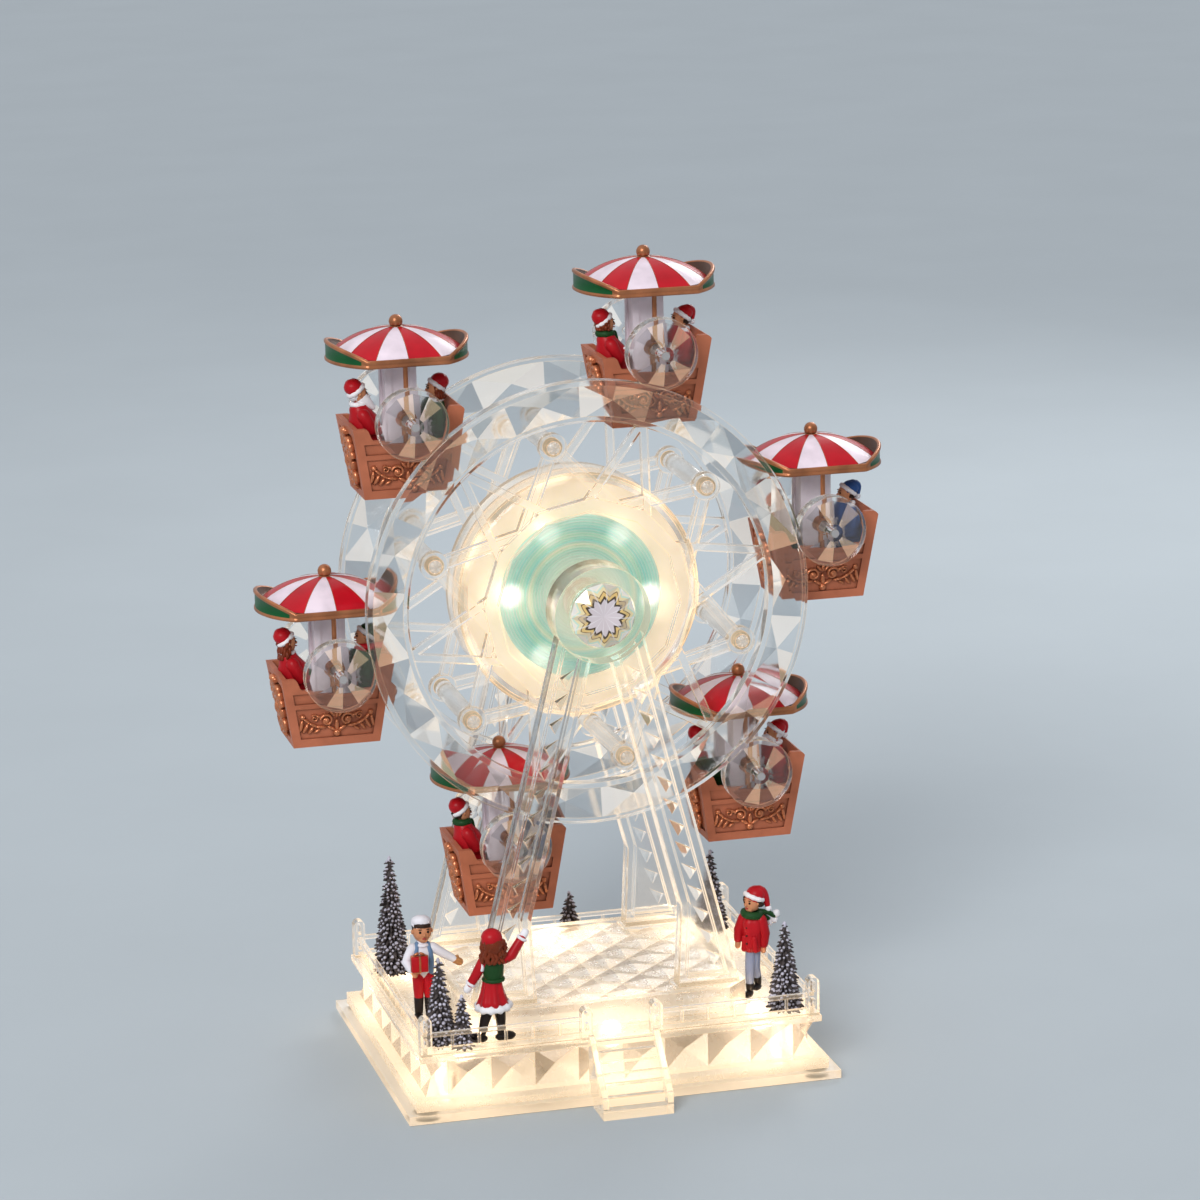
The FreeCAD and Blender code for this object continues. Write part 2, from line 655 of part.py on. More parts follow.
def tub():
    """Tapered tub with sunk panels and two benches."""
    floor = -dim("tub_floor")
    top = dim("tub_right") + 1.0
    wall = dim("tub_wall")
    hollow = tub_block(floor + wall, top + 1.0, wall, wall)
    body = tub_block(floor, top).common(tub_side()).cut(hollow)
    x_out = dim("tub_high_x") + 5.0
    benches = [box(-x_out, -dim("bench_in"), -40, 40, floor + wall, dim("bench_top")),
               box(dim("bench_in"), x_out, -40, 40, floor + wall, dim("bench_top"))]
    body = fused([body] + [bench.common(hollow) for bench in benches])
    margin = dim("panel_margin")
    split = dim("panel_split")
    for z_low, z_high in ((floor + margin, split - 1.0), (split + 1.0, dim("tub_dip") - 1.4)):
        low = tub_half(z_low, dim("tub_low_x"), dim("tub_high_x")) - margin
        high = tub_half(z_high, dim("tub_low_x"), dim("tub_high_x")) - margin
        window = prism([V(-low, -40, z_low), V(low, -40, z_low), V(high, -40, z_high),
                        V(-high, -40, z_high)], V(0, 80, 0))
        body = body.cut(window.cut(tub_block(floor - 1, top + 2, -1.0, dim("panel_sink"))))
    z_low, z_high = floor + margin, dim("tub_left") - margin
    low = tub_half(z_low, dim("tub_low_y"), dim("tub_high_y")) - margin
    high = tub_half(z_high, dim("tub_low_y"), dim("tub_high_y")) - margin
    window = prism([V(-40, -low, z_low), V(-40, low, z_low), V(-40, high, z_high),
                    V(-40, -high, z_high)], V(80, 0, 0))
    return body.cut(window.cut(tub_block(floor - 1, top + 2, dim("panel_sink"), -1.0)))


def clipped_circle(radius, half, z):
    """Outline with round ends, a flat front and a flat back."""
    corner = math.sqrt(radius ** 2 - half ** 2)
    front_left, front_right = V(-corner, -half, z), V(corner, -half, z)
    back_left, back_right = V(-corner, half, z), V(corner, half, z)
    return Part.Wire([
        Part.makeLine(front_left, front_right),
        Part.Arc(front_right, V(radius, 0, z), back_right).toShape(),
        Part.makeLine(back_right, back_left),
        Part.Arc(back_left, V(-radius, 0, z), front_left).toShape(),
    ])


def dome(radius, half, low, top):
    """Shallow dome whose edge follows the clipped circle."""
    rise = top - low
    sphere = (radius ** 2 + rise ** 2) / (2 * rise)
    wires = []
    for share in (1.0, 0.85, 0.62, 0.35, 0.08):
        z = top - sphere + math.sqrt(sphere ** 2 - (radius * share) ** 2)
        wires.append(clipped_circle(radius * share, half * share, z))
    return Part.makeLoft(wires, True, False)


def canopy():
    """Shallow dome on a flat sided round band with upturned ends."""
    radius, half = dim("canopy_radius"), dim("canopy_half")
    low, high = dim("band_low"), dim("band_high")
    lip_top = dim("lip_high")
    band = Part.Face(clipped_circle(radius, half, low)).extrude(V(0, 0, high - low))
    wall = Part.makeCylinder(radius, lip_top - low, V(0, 0, low))
    wall = wall.cut(Part.makeCylinder(radius - dim("lip_thick"), lip_top, V(0, 0, low)))
    corner = math.sqrt(radius ** 2 - half ** 2)
    rise = (lip_top - high) / (radius - corner)
    far = radius + 1.0
    crest = high + (far - corner) * rise
    keep_side = prism([V(-far, -half, low), V(far, -half, low), V(far, -half, crest),
                       V(corner, -half, high), V(-corner, -half, high), V(-far, -half, crest)],
                      V(0, 2 * half, 0))
    lips = wall.common(keep_side)
    roof = dome(radius - dim("dome_inset"), half - dim("dome_step"), high - 0.2, dim("dome_top"))
    ball_centre = dim("finial_top") - dim("finial_radius")
    neck = Part.makeCylinder(dim("finial_neck"), ball_centre - high, V(0, 0, high))
    return fused([band, lips, roof, neck, ball(V(0, 0, ball_centre), dim("finial_radius"))])


def column():
    """Square column with a sunk panel on each face."""
    half = dim("column_width") / 2
    low = -dim("tub_floor") + dim("tub_wall")
    high = dim("band_low")
    body = box(-half, half, -half, half, low, high)
    panel, sink = dim("column_panel") / 2, dim("column_sink")
    z_low, z_high = low + dim("column_margin"), high - dim("column_margin")
    for side in (-1, 1):
        near, far = sorted((side * (half - sink), side * (half + 1)))
        body = body.cut(box(-panel, panel, near, far, z_low, z_high))
        body = body.cut(box(near, far, -panel, panel, z_low, z_high))
    return body


def hangers():
    """Front and back rods with the eyes and pins that carry the gondola."""
    wall = tub_half(dim("tub_dip"), dim("tub_low_y"), dim("tub_high_y"))
    place = wall - dim("tub_wall") / 2
    end = medallion_face() + dim("pin_nub")
    half_eye = dim("eye_thick") / 2
    rods = []
    for side in (-1, 1):
        rod = Part.makeCylinder(dim("rod_radius"), dim("band_low") - dim("tub_dip"),
                                V(0, side * place, dim("tub_dip")))
        eye = tube_y(dim("eye_radius"), side * place - half_eye, side * place + half_eye)
        span = sorted((side * place, side * end))
        pin = tube_y(dim("pin_radius"), span[0], span[1])
        rods.append(fused([rod, eye, pin]))
    return Part.makeCompound(rods)


def rider(side):
    """Seated passenger: coat, legs, arms, head and a cap that leans back."""
    seat = dim("bench_top")
    hips, lap, neck = side * 12.7, side * 8.8, side * 14.9
    coat = limb(V(hips, 0, seat - 1.0), V(neck, 0, 2.0), 4.5, 3.9)
    shoulders = ball(V(neck, 0, 2.0), 4.2)
    knees = [limb(V(hips, y, seat + 2.4), V(lap, y, seat + 2.2), 2.3, 1.9) for y in (-2.7, 2.7)]
    arms = [limb(V(neck, y * 3.6, 0.6), V(side * 9.2, y * 3.0, -5.4), 1.9, 1.6) for y in (-1, 1)]
    head = ball(V(side * 15.6, 0, 8.2), 3.6)
    cap = limb(V(side * 16.5, 0, 10.0), V(side * 17.8, 0, 12.6), 3.9, 2.6)
    bench = box(-30, 30, -10, 10, seat - 5, seat)
    return fused([coat, shoulders, head, cap] + knees + arms).cut(bench)


def make_gondolas():
    """Six gondolas of five pieces each, hung at their pivots."""
    riders = Part.makeCompound([rider(-1), rider(1)])
    forms = (("tub", tub()), ("canopy", canopy()), ("column", column()),
             ("hangers", hangers()), ("riders", riders))
    for k in range(count("gondola_count")):
        pivot = polar(dim("pivot_circle"), pivot_angle(k))
        place = FreeCAD.Placement(V(pivot.x, 0, pivot.z + dim("axle_height")),
                                  FreeCAD.Rotation())
        for name, form in forms:
            add_part("gondola_%d_%s" % (k + 1, name), form.copy(), place)


def make_wheel():
    hub_place = FreeCAD.Placement(V(0, 0, dim("axle_height")), FreeCAD.Rotation())
    front = side_frame(dim("stub_radius") + dim("run_clear"))
    rear = mirrored(side_frame(dim("shaft_radius") + dim("seat_clear")))
    add_part("front_side_frame", front, hub_place)
    add_part("rear_side_frame", rear, hub_place)
    add_part("cross_struts", cross_struts(), hub_place)


# Light drum and drive


def make_drum():
    """Two turned shells, held by the front stub."""
    half = "Dims.drum_depth/2"
    wall = "Dims.drum_wall"
    edge = "Dims.drum_edge"
    radius = "Dims.drum_radius"
    inside = radius + "-" + wall
    bore = "Dims.stub_radius+Dims.seat_clear"
    rebate = inside + "+Dims.board_grip+Dims.seat_clear"
    recess = "Dims.shimmer_radius+Dims.crystal_clear"
    turned_body("DrumFront", "drum_front_shell", [
        (bore, "-" + half + "+Dims.shimmer_thick"),
        (recess, "-" + half + "+Dims.shimmer_thick"),
        (recess, "-" + half),
        (radius + "-" + edge, "-" + half),
        (radius, "-" + half + "+" + edge),
        (radius, "0"),
        (rebate, "0"),
        (rebate, "-Dims.board_thick"),
        (inside, "-Dims.board_thick"),
        (inside, "-" + half + "+" + wall + "+" + edge),
        (inside + "-" + edge, "-" + half + "+" + wall + "+Dims.shimmer_thick"),
        (bore, "-" + half + "+" + wall + "+Dims.shimmer_thick"),
    ])
    shaft_way = "Dims.shaft_radius+1"
    turned_body("DrumRear", "drum_rear_shell", [
        (shaft_way, half),
        (radius + "-" + edge, half),
        (radius, half + "-" + edge),
        (radius, "0"),
        (inside, "0"),
        (inside, half + "-" + wall + "-" + edge),
        (inside + "-" + edge, half + "-" + wall),
        (shaft_way, half + "-" + wall),
    ])


def make_core():
    """Axle stub, drive shaft and gearmotor, all on the wheel's axis."""
    skin = "Dims.drum_depth/2-Dims.drum_wall-Dims.shimmer_thick"
    turned_body("AxleStub", "axle_stub", [
        ("Dims.stub_bore", "-Dims.boss_front+Dims.crystal_seat"),
        ("Dims.stub_radius", "-Dims.boss_front+Dims.crystal_seat"),
        ("Dims.stub_radius", "-(" + skin + ")"),
        ("Dims.stub_flange", "-(" + skin + ")"),
        ("Dims.stub_flange", "-(" + skin + ")+Dims.flange_thick"),
        ("Dims.stub_bore", "-(" + skin + ")+Dims.flange_thick"),
    ])
    back = "Dims.drum_depth/2-Dims.drum_wall"
    turned_body("DriveShaft", "drive_shaft", [
        ("0", back + "-Dims.shaft_engage"),
        ("Dims.shaft_radius", back + "-Dims.shaft_engage"),
        ("Dims.shaft_radius", "Dims.boss_front-Dims.crystal_seat-Dims.crystal_clear"),
        ("0", "Dims.boss_front-Dims.crystal_seat-Dims.crystal_clear"),
    ])
    shaft_hole = "Dims.shaft_radius+Dims.run_clear"
    hole_end = back + "-Dims.shaft_engage-Dims.crystal_clear"
    turned_body("Gearmotor", "gearmotor", [
        ("0", back + "-Dims.gearbox_length-Dims.motor_length"),
        ("Dims.motor_radius", back + "-Dims.gearbox_length-Dims.motor_length"),
        ("Dims.motor_radius", back + "-Dims.gearbox_length"),
        ("Dims.gearbox_radius", back + "-Dims.gearbox_length"),
        ("Dims.gearbox_radius", back),
        (shaft_hole, back),
        (shaft_hole, hole_end),
        ("0", hole_end),
    ])


def make_lights():
    """Grooved reflecting disc and the ring of lights behind it."""
    hub_place = FreeCAD.Placement(V(0, 0, dim("axle_height")), FreeCAD.Rotation())
    front = -dim("drum_depth") / 2
    disc = tube_y(dim("shimmer_radius"), front, front + dim("shimmer_thick"))
    disc = disc.cut(tube_y(dim("stub_radius") + dim("crystal_clear"), front - 1, 0))
    radius = dim("stub_radius") + dim("shimmer_groove")
    while radius < dim("shimmer_radius") - dim("shimmer_groove") / 2:
        groove = tube_y(radius + 0.3, front - 1, front + dim("shimmer_thick") / 3)
        disc = disc.cut(groove.cut(tube_y(radius - 0.3, front - 2, front + 2)))
        radius += dim("shimmer_groove")
    add_part("shimmer_disc", disc, hub_place)
    outer = dim("drum_radius") - dim("drum_wall") + dim("board_grip")
    board = tube_y(outer, -dim("board_thick"), 0)
    board = board.cut(tube_y(dim("board_bore"), -5, 5))
    lights = [board]
    for k in range(count("led_count")):
        spot = polar(dim("led_circle"), 360.0 * k / count("led_count") - 4.0)
        top = -dim("board_thick") - dim("led_height")
        lamp = tube_y(dim("led_radius"), top + dim("led_radius"), -dim("board_thick"), spot.x, spot.z)
        lights.append(lamp.fuse(ball(V(spot.x, top + dim("led_radius"), spot.z), dim("led_radius"))))
    add_part("drum_light_board", fused(lights), hub_place)


# A frames


def leg_outline(side, y):
    """Corners of one leg: straight outside, kinked inside."""
    platform = dim("deck_height") + dim("platform_height")
    axle = dim("axle_height")
    return [
        V(0, y, axle),
        V(side * dim("leg_top_out"), y, axle),
        V(side * dim("leg_foot_out"), y, platform),
        V(side * dim("leg_foot_in"), y, platform),
        V(side * dim("kink_in"), y, platform + dim("kink_rise")),
        V(0, y, axle - dim("leg_crotch")),
    ]


def cut_teeth(side, web_front):
    """Column of cut teeth down the web of a leg."""
    platform = dim("deck_height") + dim("platform_height")
    top, foot = dim("axle_height"), platform + dim("kink_rise")
    upper = V(side * (dim("leg_top_out") / 2), web_front, top)
    outer = dim("leg_top_out") + (dim("leg_foot_out") - dim("leg_top_out")) * (
        (top - foot) / (top - platform))
    lower = V(side * (outer + dim("kink_in")) / 2, web_front, foot)
    along = (lower - upper).normalize()
    across = V(along.z * -side, 0, along.x * side)
    start = dim("boss_radius") + dim("tooth_pitch") * 0.3
    half, rise = dim("tooth_width") / 2, dim("tooth_rise")
    length = dim("tooth_pitch") * 0.86
    teeth = []
    travel = start
    total = (platform + dim("leg_rib") - top) / along.z
    while travel + dim("tooth_pitch") < total:
        base = upper + along * travel + V(0, 0.1, 0)
        corners = [base - across * half,
                   base + across * half + along * (length * 0.55),
                   base - across * (half * 0.3) + along * length]
        apex = corners[1] + V(0, -rise, 0) - across * 0.6
        faces = [face_of(corners)] + [
            face_of([corners[i], corners[(i + 1) % 3], apex]) for i in range(3)]
        teeth.append(solid_of(faces))
        travel += dim("tooth_pitch")
    return teeth


def a_frame(axle_radius):
    """Two ribbed legs and the round boss, drawn at the front."""
    front = -(dim("leg_plane") + dim("leg_thick") / 2)
    web_front = -(dim("leg_plane") + dim("leg_web") / 2)
    pocket_depth = (dim("leg_thick") - dim("leg_web")) / 2
    pieces = []
    for side in (-1, 1):
        leg = prism(leg_outline(side, front), V(0, dim("leg_thick"), 0))
        inner = Part.Wire(face_of(leg_outline(side, front)).Wires[0])
        inner = Part.Face(inner.makeOffset2D(-dim("leg_rib"), 2))
        near = inner.extrude(V(0, pocket_depth, 0))
        far = near.translated(V(0, dim("leg_thick") - pocket_depth, 0))
        pieces.append(leg.cut(Part.makeCompound([near, far])))
        pieces += cut_teeth(side, web_front)
    axle = dim("axle_height")
    pieces.append(tube_y(dim("boss_radius"), -dim("boss_front"), -dim("boss_back"), 0, axle))
    body = fused(pieces)
    seat = tube_y(dim("crystal_radius") + dim("crystal_clear"), -dim("boss_front") - 1,
                  -dim("boss_front") + dim("crystal_seat"), 0, axle)
    bore = tube_y(axle_radius, -dim("boss_front") - 1, -dim("boss_back") + 1, 0, axle)
    return body.cut(Part.makeCompound([seat, bore]))


def crystal():
    """Twelve sided cut cap with a star of facets."""
    sides = 12
    low = -dim("boss_front") + dim("crystal_seat")
    face = -dim("boss_front") - 0.4
    top = -dim("boss_front") - dim("crystal_rise")
    radius = dim("crystal_radius")
    bottom = ring_points(radius, sides, low)
    rim = ring_points(radius, sides, face)
    star = ring_points(radius * 0.6, sides, top, 180.0 / sides)
    apex = V(0, top + dim("crystal_rise") * 0.35, 0)
    faces = [face_of(bottom)]
    for k in range(sides):
        after = (k + 1) % sides
        faces.append(face_of([bottom[k], bottom[after], rim[after], rim[k]]))
        faces.append(face_of([rim[k], rim[after], star[k]]))
        faces.append(face_of([star[k], rim[after], star[after]]))
        faces.append(face_of([star[k], star[after], apex]))
    return solid_of(faces)


def make_a_frames():
    front = a_frame(dim("stub_radius") + dim("seat_clear"))
    rear = mirrored(a_frame(dim("shaft_radius") + dim("run_clear")))
    add_part("front_a_frame", front)
    add_part("rear_a_frame", rear)
    hub_place = FreeCAD.Placement(V(0, 0, dim("axle_height")), FreeCAD.Rotation())
    caps = Part.makeCompound([crystal(), mirrored(crystal())])
    add_part("boss_caps", caps, hub_place)


# Base


def wall_stations(diamonds):
    """Places along a wall from 0 to 1; even ones are stars, odd ones peaks."""
    return [k / (2.0 * diamonds) for k in range(2 * diamonds + 1)]


def cut_wall(half_x, half_y, z_low, z_high):
    """Solid block whose four sides carry rows of star cuts."""
    depth = dim("star_depth")
    middle = (z_low + z_high) / 2
    corners = [V(-half_x, -half_y, 0), V(half_x, -half_y, 0), V(half_x, half_y, 0),
               V(-half_x, half_y, 0)]
    counts = [count("front_diamonds"), count("side_diamonds")] * 2
    loop = []
    for k in range(4):
        start, end = corners[k], corners[(k + 1) % 4]
        along = (end - start).normalize()
        inward = V(-along.y, along.x, 0)
        for n, t in enumerate(wall_stations(counts[k])[:-1]):
            flush = start + (end - start) * t
            cut = V(0, 0, 0)
            if n % 2 == 0:
                cut = inward * depth
            if n == 0:
                cut = cut + along * depth
            loop.append((flush, flush + cut, n % 2 == 0))
    faces = []
    total = len(loop)
    for k in range(total):
        first, second = loop[k], loop[(k + 1) % total]
        if not first[2]:
            first, second = second, first
        deep = first[1] + V(0, 0, middle)
        peak = second[1] + V(0, 0, middle)
        for z in (z_low, z_high):
            faces.append(face_of([deep, first[0] + V(0, 0, z), second[0] + V(0, 0, z)]))
            faces.append(face_of([deep, second[0] + V(0, 0, z), peak]))
    for z in (z_low, z_high):
        faces.append(face_of([point[0] + V(0, 0, z) for point in loop]))
    return solid_of(faces)


def plinth():
    """Step, diamond cut walls and deck in one moulding, open below."""
    plate_top = floor_height()
    step_top = plate_top + dim("step_height")
    under_deck = dim("deck_height") - dim("ledge_thick")
    step_x = dim("plate_width") / 2 - dim("step_inset")
    step_y = dim("plate_depth") / 2 - dim("step_inset")
    ledge_x, ledge_y = dim("ledge_width") / 2, dim("ledge_depth") / 2
    wall_x, wall_y = ledge_x - dim("wall_inset"), ledge_y - dim("wall_inset")
    step = box(-step_x, step_x, -step_y, step_y, plate_top, step_top)
    walls = cut_wall(wall_x, wall_y, step_top, under_deck)
    deck = box(-ledge_x, ledge_x, -ledge_y, ledge_y, under_deck, dim("deck_height"))
    room_x, room_y = wall_x - dim("wall_thick"), wall_y - dim("wall_thick")
    hollow = box(-room_x, room_x, -room_y, room_y, plate_top - 1, under_deck)
    shell = fused([step, walls, deck]).cut(hollow)
    bosses = []
    holes = []
    for x in (-dim("screw_x"), dim("screw_x")):
        for y in (-dim("screw_y"), dim("screw_y")):
            bosses.append(Part.makeCylinder(dim("screw_boss"), under_deck - plate_top,
                                            V(x, y, plate_top)))
            holes.append(Part.makeCylinder(dim("screw_radius") + dim("seat_clear"),
                                           dim("screw_length"), V(x, y, plate_top - 1)))
    return fused([shell] + bosses).cut(Part.makeCompound(holes))


def octagon(half_x, half_y, corner, z):
    return [V(-half_x, -half_y + corner, z), V(-half_x + corner, -half_y, z),
            V(half_x - corner, -half_y, z), V(half_x, -half_y + corner, z),
            V(half_x, half_y - corner, z), V(half_x - corner, half_y, z),
            V(-half_x + corner, half_y, z), V(-half_x, half_y - corner, z)]


def ridges(turn, top):
    """Corrugated block; two of them crossed leave the quilt's diamonds."""
    pitch, rise = dim("quilt_pitch"), dim("quilt_rise")
    reach = dim("ledge_width")
    low = dim("deck_height")
    points = [V(-reach, -reach, low)]
    lines = int(reach / pitch)
    for k in range(-lines, lines + 1):
        points.append(V(k * pitch, -reach, top - rise))
        points.append(V((k + 0.5) * pitch, -reach, top))
    points[0] = V(-lines * pitch, -reach, low)
    points.append(V((lines + 0.5) * pitch, -reach, low))
    block = prism(points, V(0, 2 * reach, 0))
    block.rotate(V(0, 0, 0), V(0, 0, 1), turn)
    return block


def platform():
    """Octagonal hollow platform with a quilted top and flat pads for the legs."""
    low = dim("deck_height")
    top = low + dim("platform_height")
    half_x = dim("ledge_width") / 2 - dim("side_walk")
    half_y = dim("ledge_depth") / 2 - dim("end_walk")
    corner, wall = dim("platform_corner"), dim("platform_wall")
    block = prism(octagon(half_x, half_y, corner, low), V(0, 0, top - low))
    quilt = block.common(ridges(45, top)).common(ridges(-45, top))
    inner = octagon(half_x - wall, half_y - wall, corner, low)
    hollow = prism(inner, V(0, 0, top - low - wall - dim("quilt_rise")))
    frame = prism(octagon(half_x, half_y, corner, low), V(0, 0, top - low))
    frame = frame.cut(prism(octagon(half_x - 4, half_y - 4, corner, low - 1), V(0, 0, 40)))
    pads = []
    for x_side in (-1, 1):
        for y_side in (-1, 1):
            x_low, x_high = sorted((x_side * (dim("leg_foot_in") - 1.5),
                                    x_side * (dim("leg_foot_out") + 1.5)))
            y_mid = y_side * dim("leg_plane")
            half = dim("leg_thick") / 2 + 1.5
            pad_box = box(x_low, x_high, y_mid - half, y_mid + half, top - 3, top)
            pads.append(pad_box.common(block))
    return fused([quilt, frame] + pads).cut(hollow)


def post(x, y, height):
    """Square post with a rounded top and two narrow slots, the upper one arched."""
    half = dim("post_width") / 2
    low = dim("deck_height")
    shaft = box(x - half, x + half, y - half, y + half, low, low + height - half)
    cap = Part.makeCylinder(half, 2 * half, V(x, y - half, low + height - half), V(0, 1, 0))
    slot = dim("post_slot") / 2
    crest = low + height - half
    sill = low + dim("rail_height") + 1.0
    arch = Part.makeCylinder(slot, 2 * half + 2, V(x, y - half - 1, crest), V(0, 1, 0))
    upper = box(x - slot, x + slot, y - half - 1, y + half + 1, sill, crest)
    lower = box(x - slot, x + slot, y - half - 1, y + half + 1,
                low + dim("curb_height") + 1.0, low + dim("rail_height") - dim("rail_thick") - 0.6)
    return shaft.fuse(cap).cut(fused([arch, upper])).cut(lower)


def fence(start, end):
    """Curb, balusters and top rail between two posts."""
    low = dim("deck_height")
    half = dim("curb_thick") / 2
    along_x = abs(end.x - start.x) > abs(end.y - start.y)
    x_low, x_high = sorted((start.x, end.x))
    y_low, y_high = sorted((start.y, end.y))
    if along_x:
        y_low, y_high = start.y - half, start.y + half
    else:
        x_low, x_high = start.x - half, start.x + half
    top = low + dim("rail_height")
    pieces = [box(x_low, x_high, y_low, y_high, low, low + dim("curb_height")),
              box(x_low, x_high, y_low, y_high, top - dim("rail_thick"), top)]
    length = (end - start).Length
    gaps = max(1, int(round(length / dim("baluster_pitch"))))
    thin = dim("baluster_width") / 2
    for k in range(1, gaps):
        place = start + (end - start) * (k / float(gaps))
        pieces.append(box(place.x - thin, place.x + thin, place.y - thin, place.y + thin,
                          low, top - dim("rail_thick") / 2))
    return pieces


def balustrade():
    """Railing round the deck, open at the stairs."""
    x = dim("ledge_width") / 2 - dim("rail_inset")
    y = dim("ledge_depth") / 2 - dim("rail_inset")
    gate = dim("stair_width") / 2 + dim("stringer")
    corners = [V(-x, -y, 0), V(x, -y, 0), V(x, y, 0), V(-x, y, 0)]
    pieces = [post(c.x, c.y, dim("post_height")) for c in corners]
    pieces += [post(side * gate, -y, dim("gate_post_height")) for side in (-1, 1)]
    pieces += fence(corners[0], V(-gate, -y, 0)) + fence(V(gate, -y, 0), corners[1])
    pieces += fence(corners[1], corners[2]) + fence(corners[2], corners[3])
    pieces += fence(corners[3], corners[0])
    return fused(pieces)


def make_stairs():
    """Stringers padded to the full width, with the flight pocketed between them."""
    body = new_body("Stairs")
    side = new_sketch(body, "stringer_outline", "YZ_Plane")
    back = "-Dims.ledge_depth/2"
    nose = "-(Dims.ledge_depth/2+Dims.stair_run)"
    top = "Dims.deck_height+Dims.stringer_cover"
    riser = "Dims.deck_height/Dims.stair_count"
    tread = "(Dims.stair_run-Dims.stair_toe)/Dims.stair_count"
    foot = "Dims.deck_height/Dims.stair_count+Dims.stringer_cover+Dims.stringer"
    step_y = "-(Dims.plate_depth/2-Dims.step_inset)"
    floor = "Dims.foot_height+Dims.plate_thick"
    step_z = floor + "+Dims.step_height"
    plate_y = "-Dims.plate_depth/2"
    outline(side, [(back, step_z), (back, top), (back + "-Dims.stair_toe", top), (nose, foot),
                   (nose, "0"), (plate_y, "0"), (plate_y, floor), (step_y, floor),
                   (step_y, step_z)])
    pad(body, side, "stringers", "Dims.stair_width+2*Dims.stringer", True)
    flight = new_sketch(body, "flight_outline", "YZ_Plane")
    steps = []
    for k in range(count("stair_count")):
        y = "-(Dims.ledge_depth/2+%d*%s)" % (k + 1, tread)
        before = "-(Dims.ledge_depth/2+%d*%s)" % (k, tread)
        z = "Dims.deck_height-%d*%s" % (k, riser)
        steps.append((before, z))
        steps.append((y, z))
    steps[0] = (back + "+1", steps[0][1])
    last = "-(Dims.ledge_depth/2+%d*%s)" % (count("stair_count"), tread)
    steps.append((last, riser))
    steps.append((nose + "-1", riser))
    steps.append((nose + "-1", "Dims.deck_height+20"))
    steps.append((back + "+1", "Dims.deck_height+20"))
    outline(flight, steps)
    pocket(body, flight, "flight", "Dims.stair_width", True)
    keep_body(body, "front_stairs")


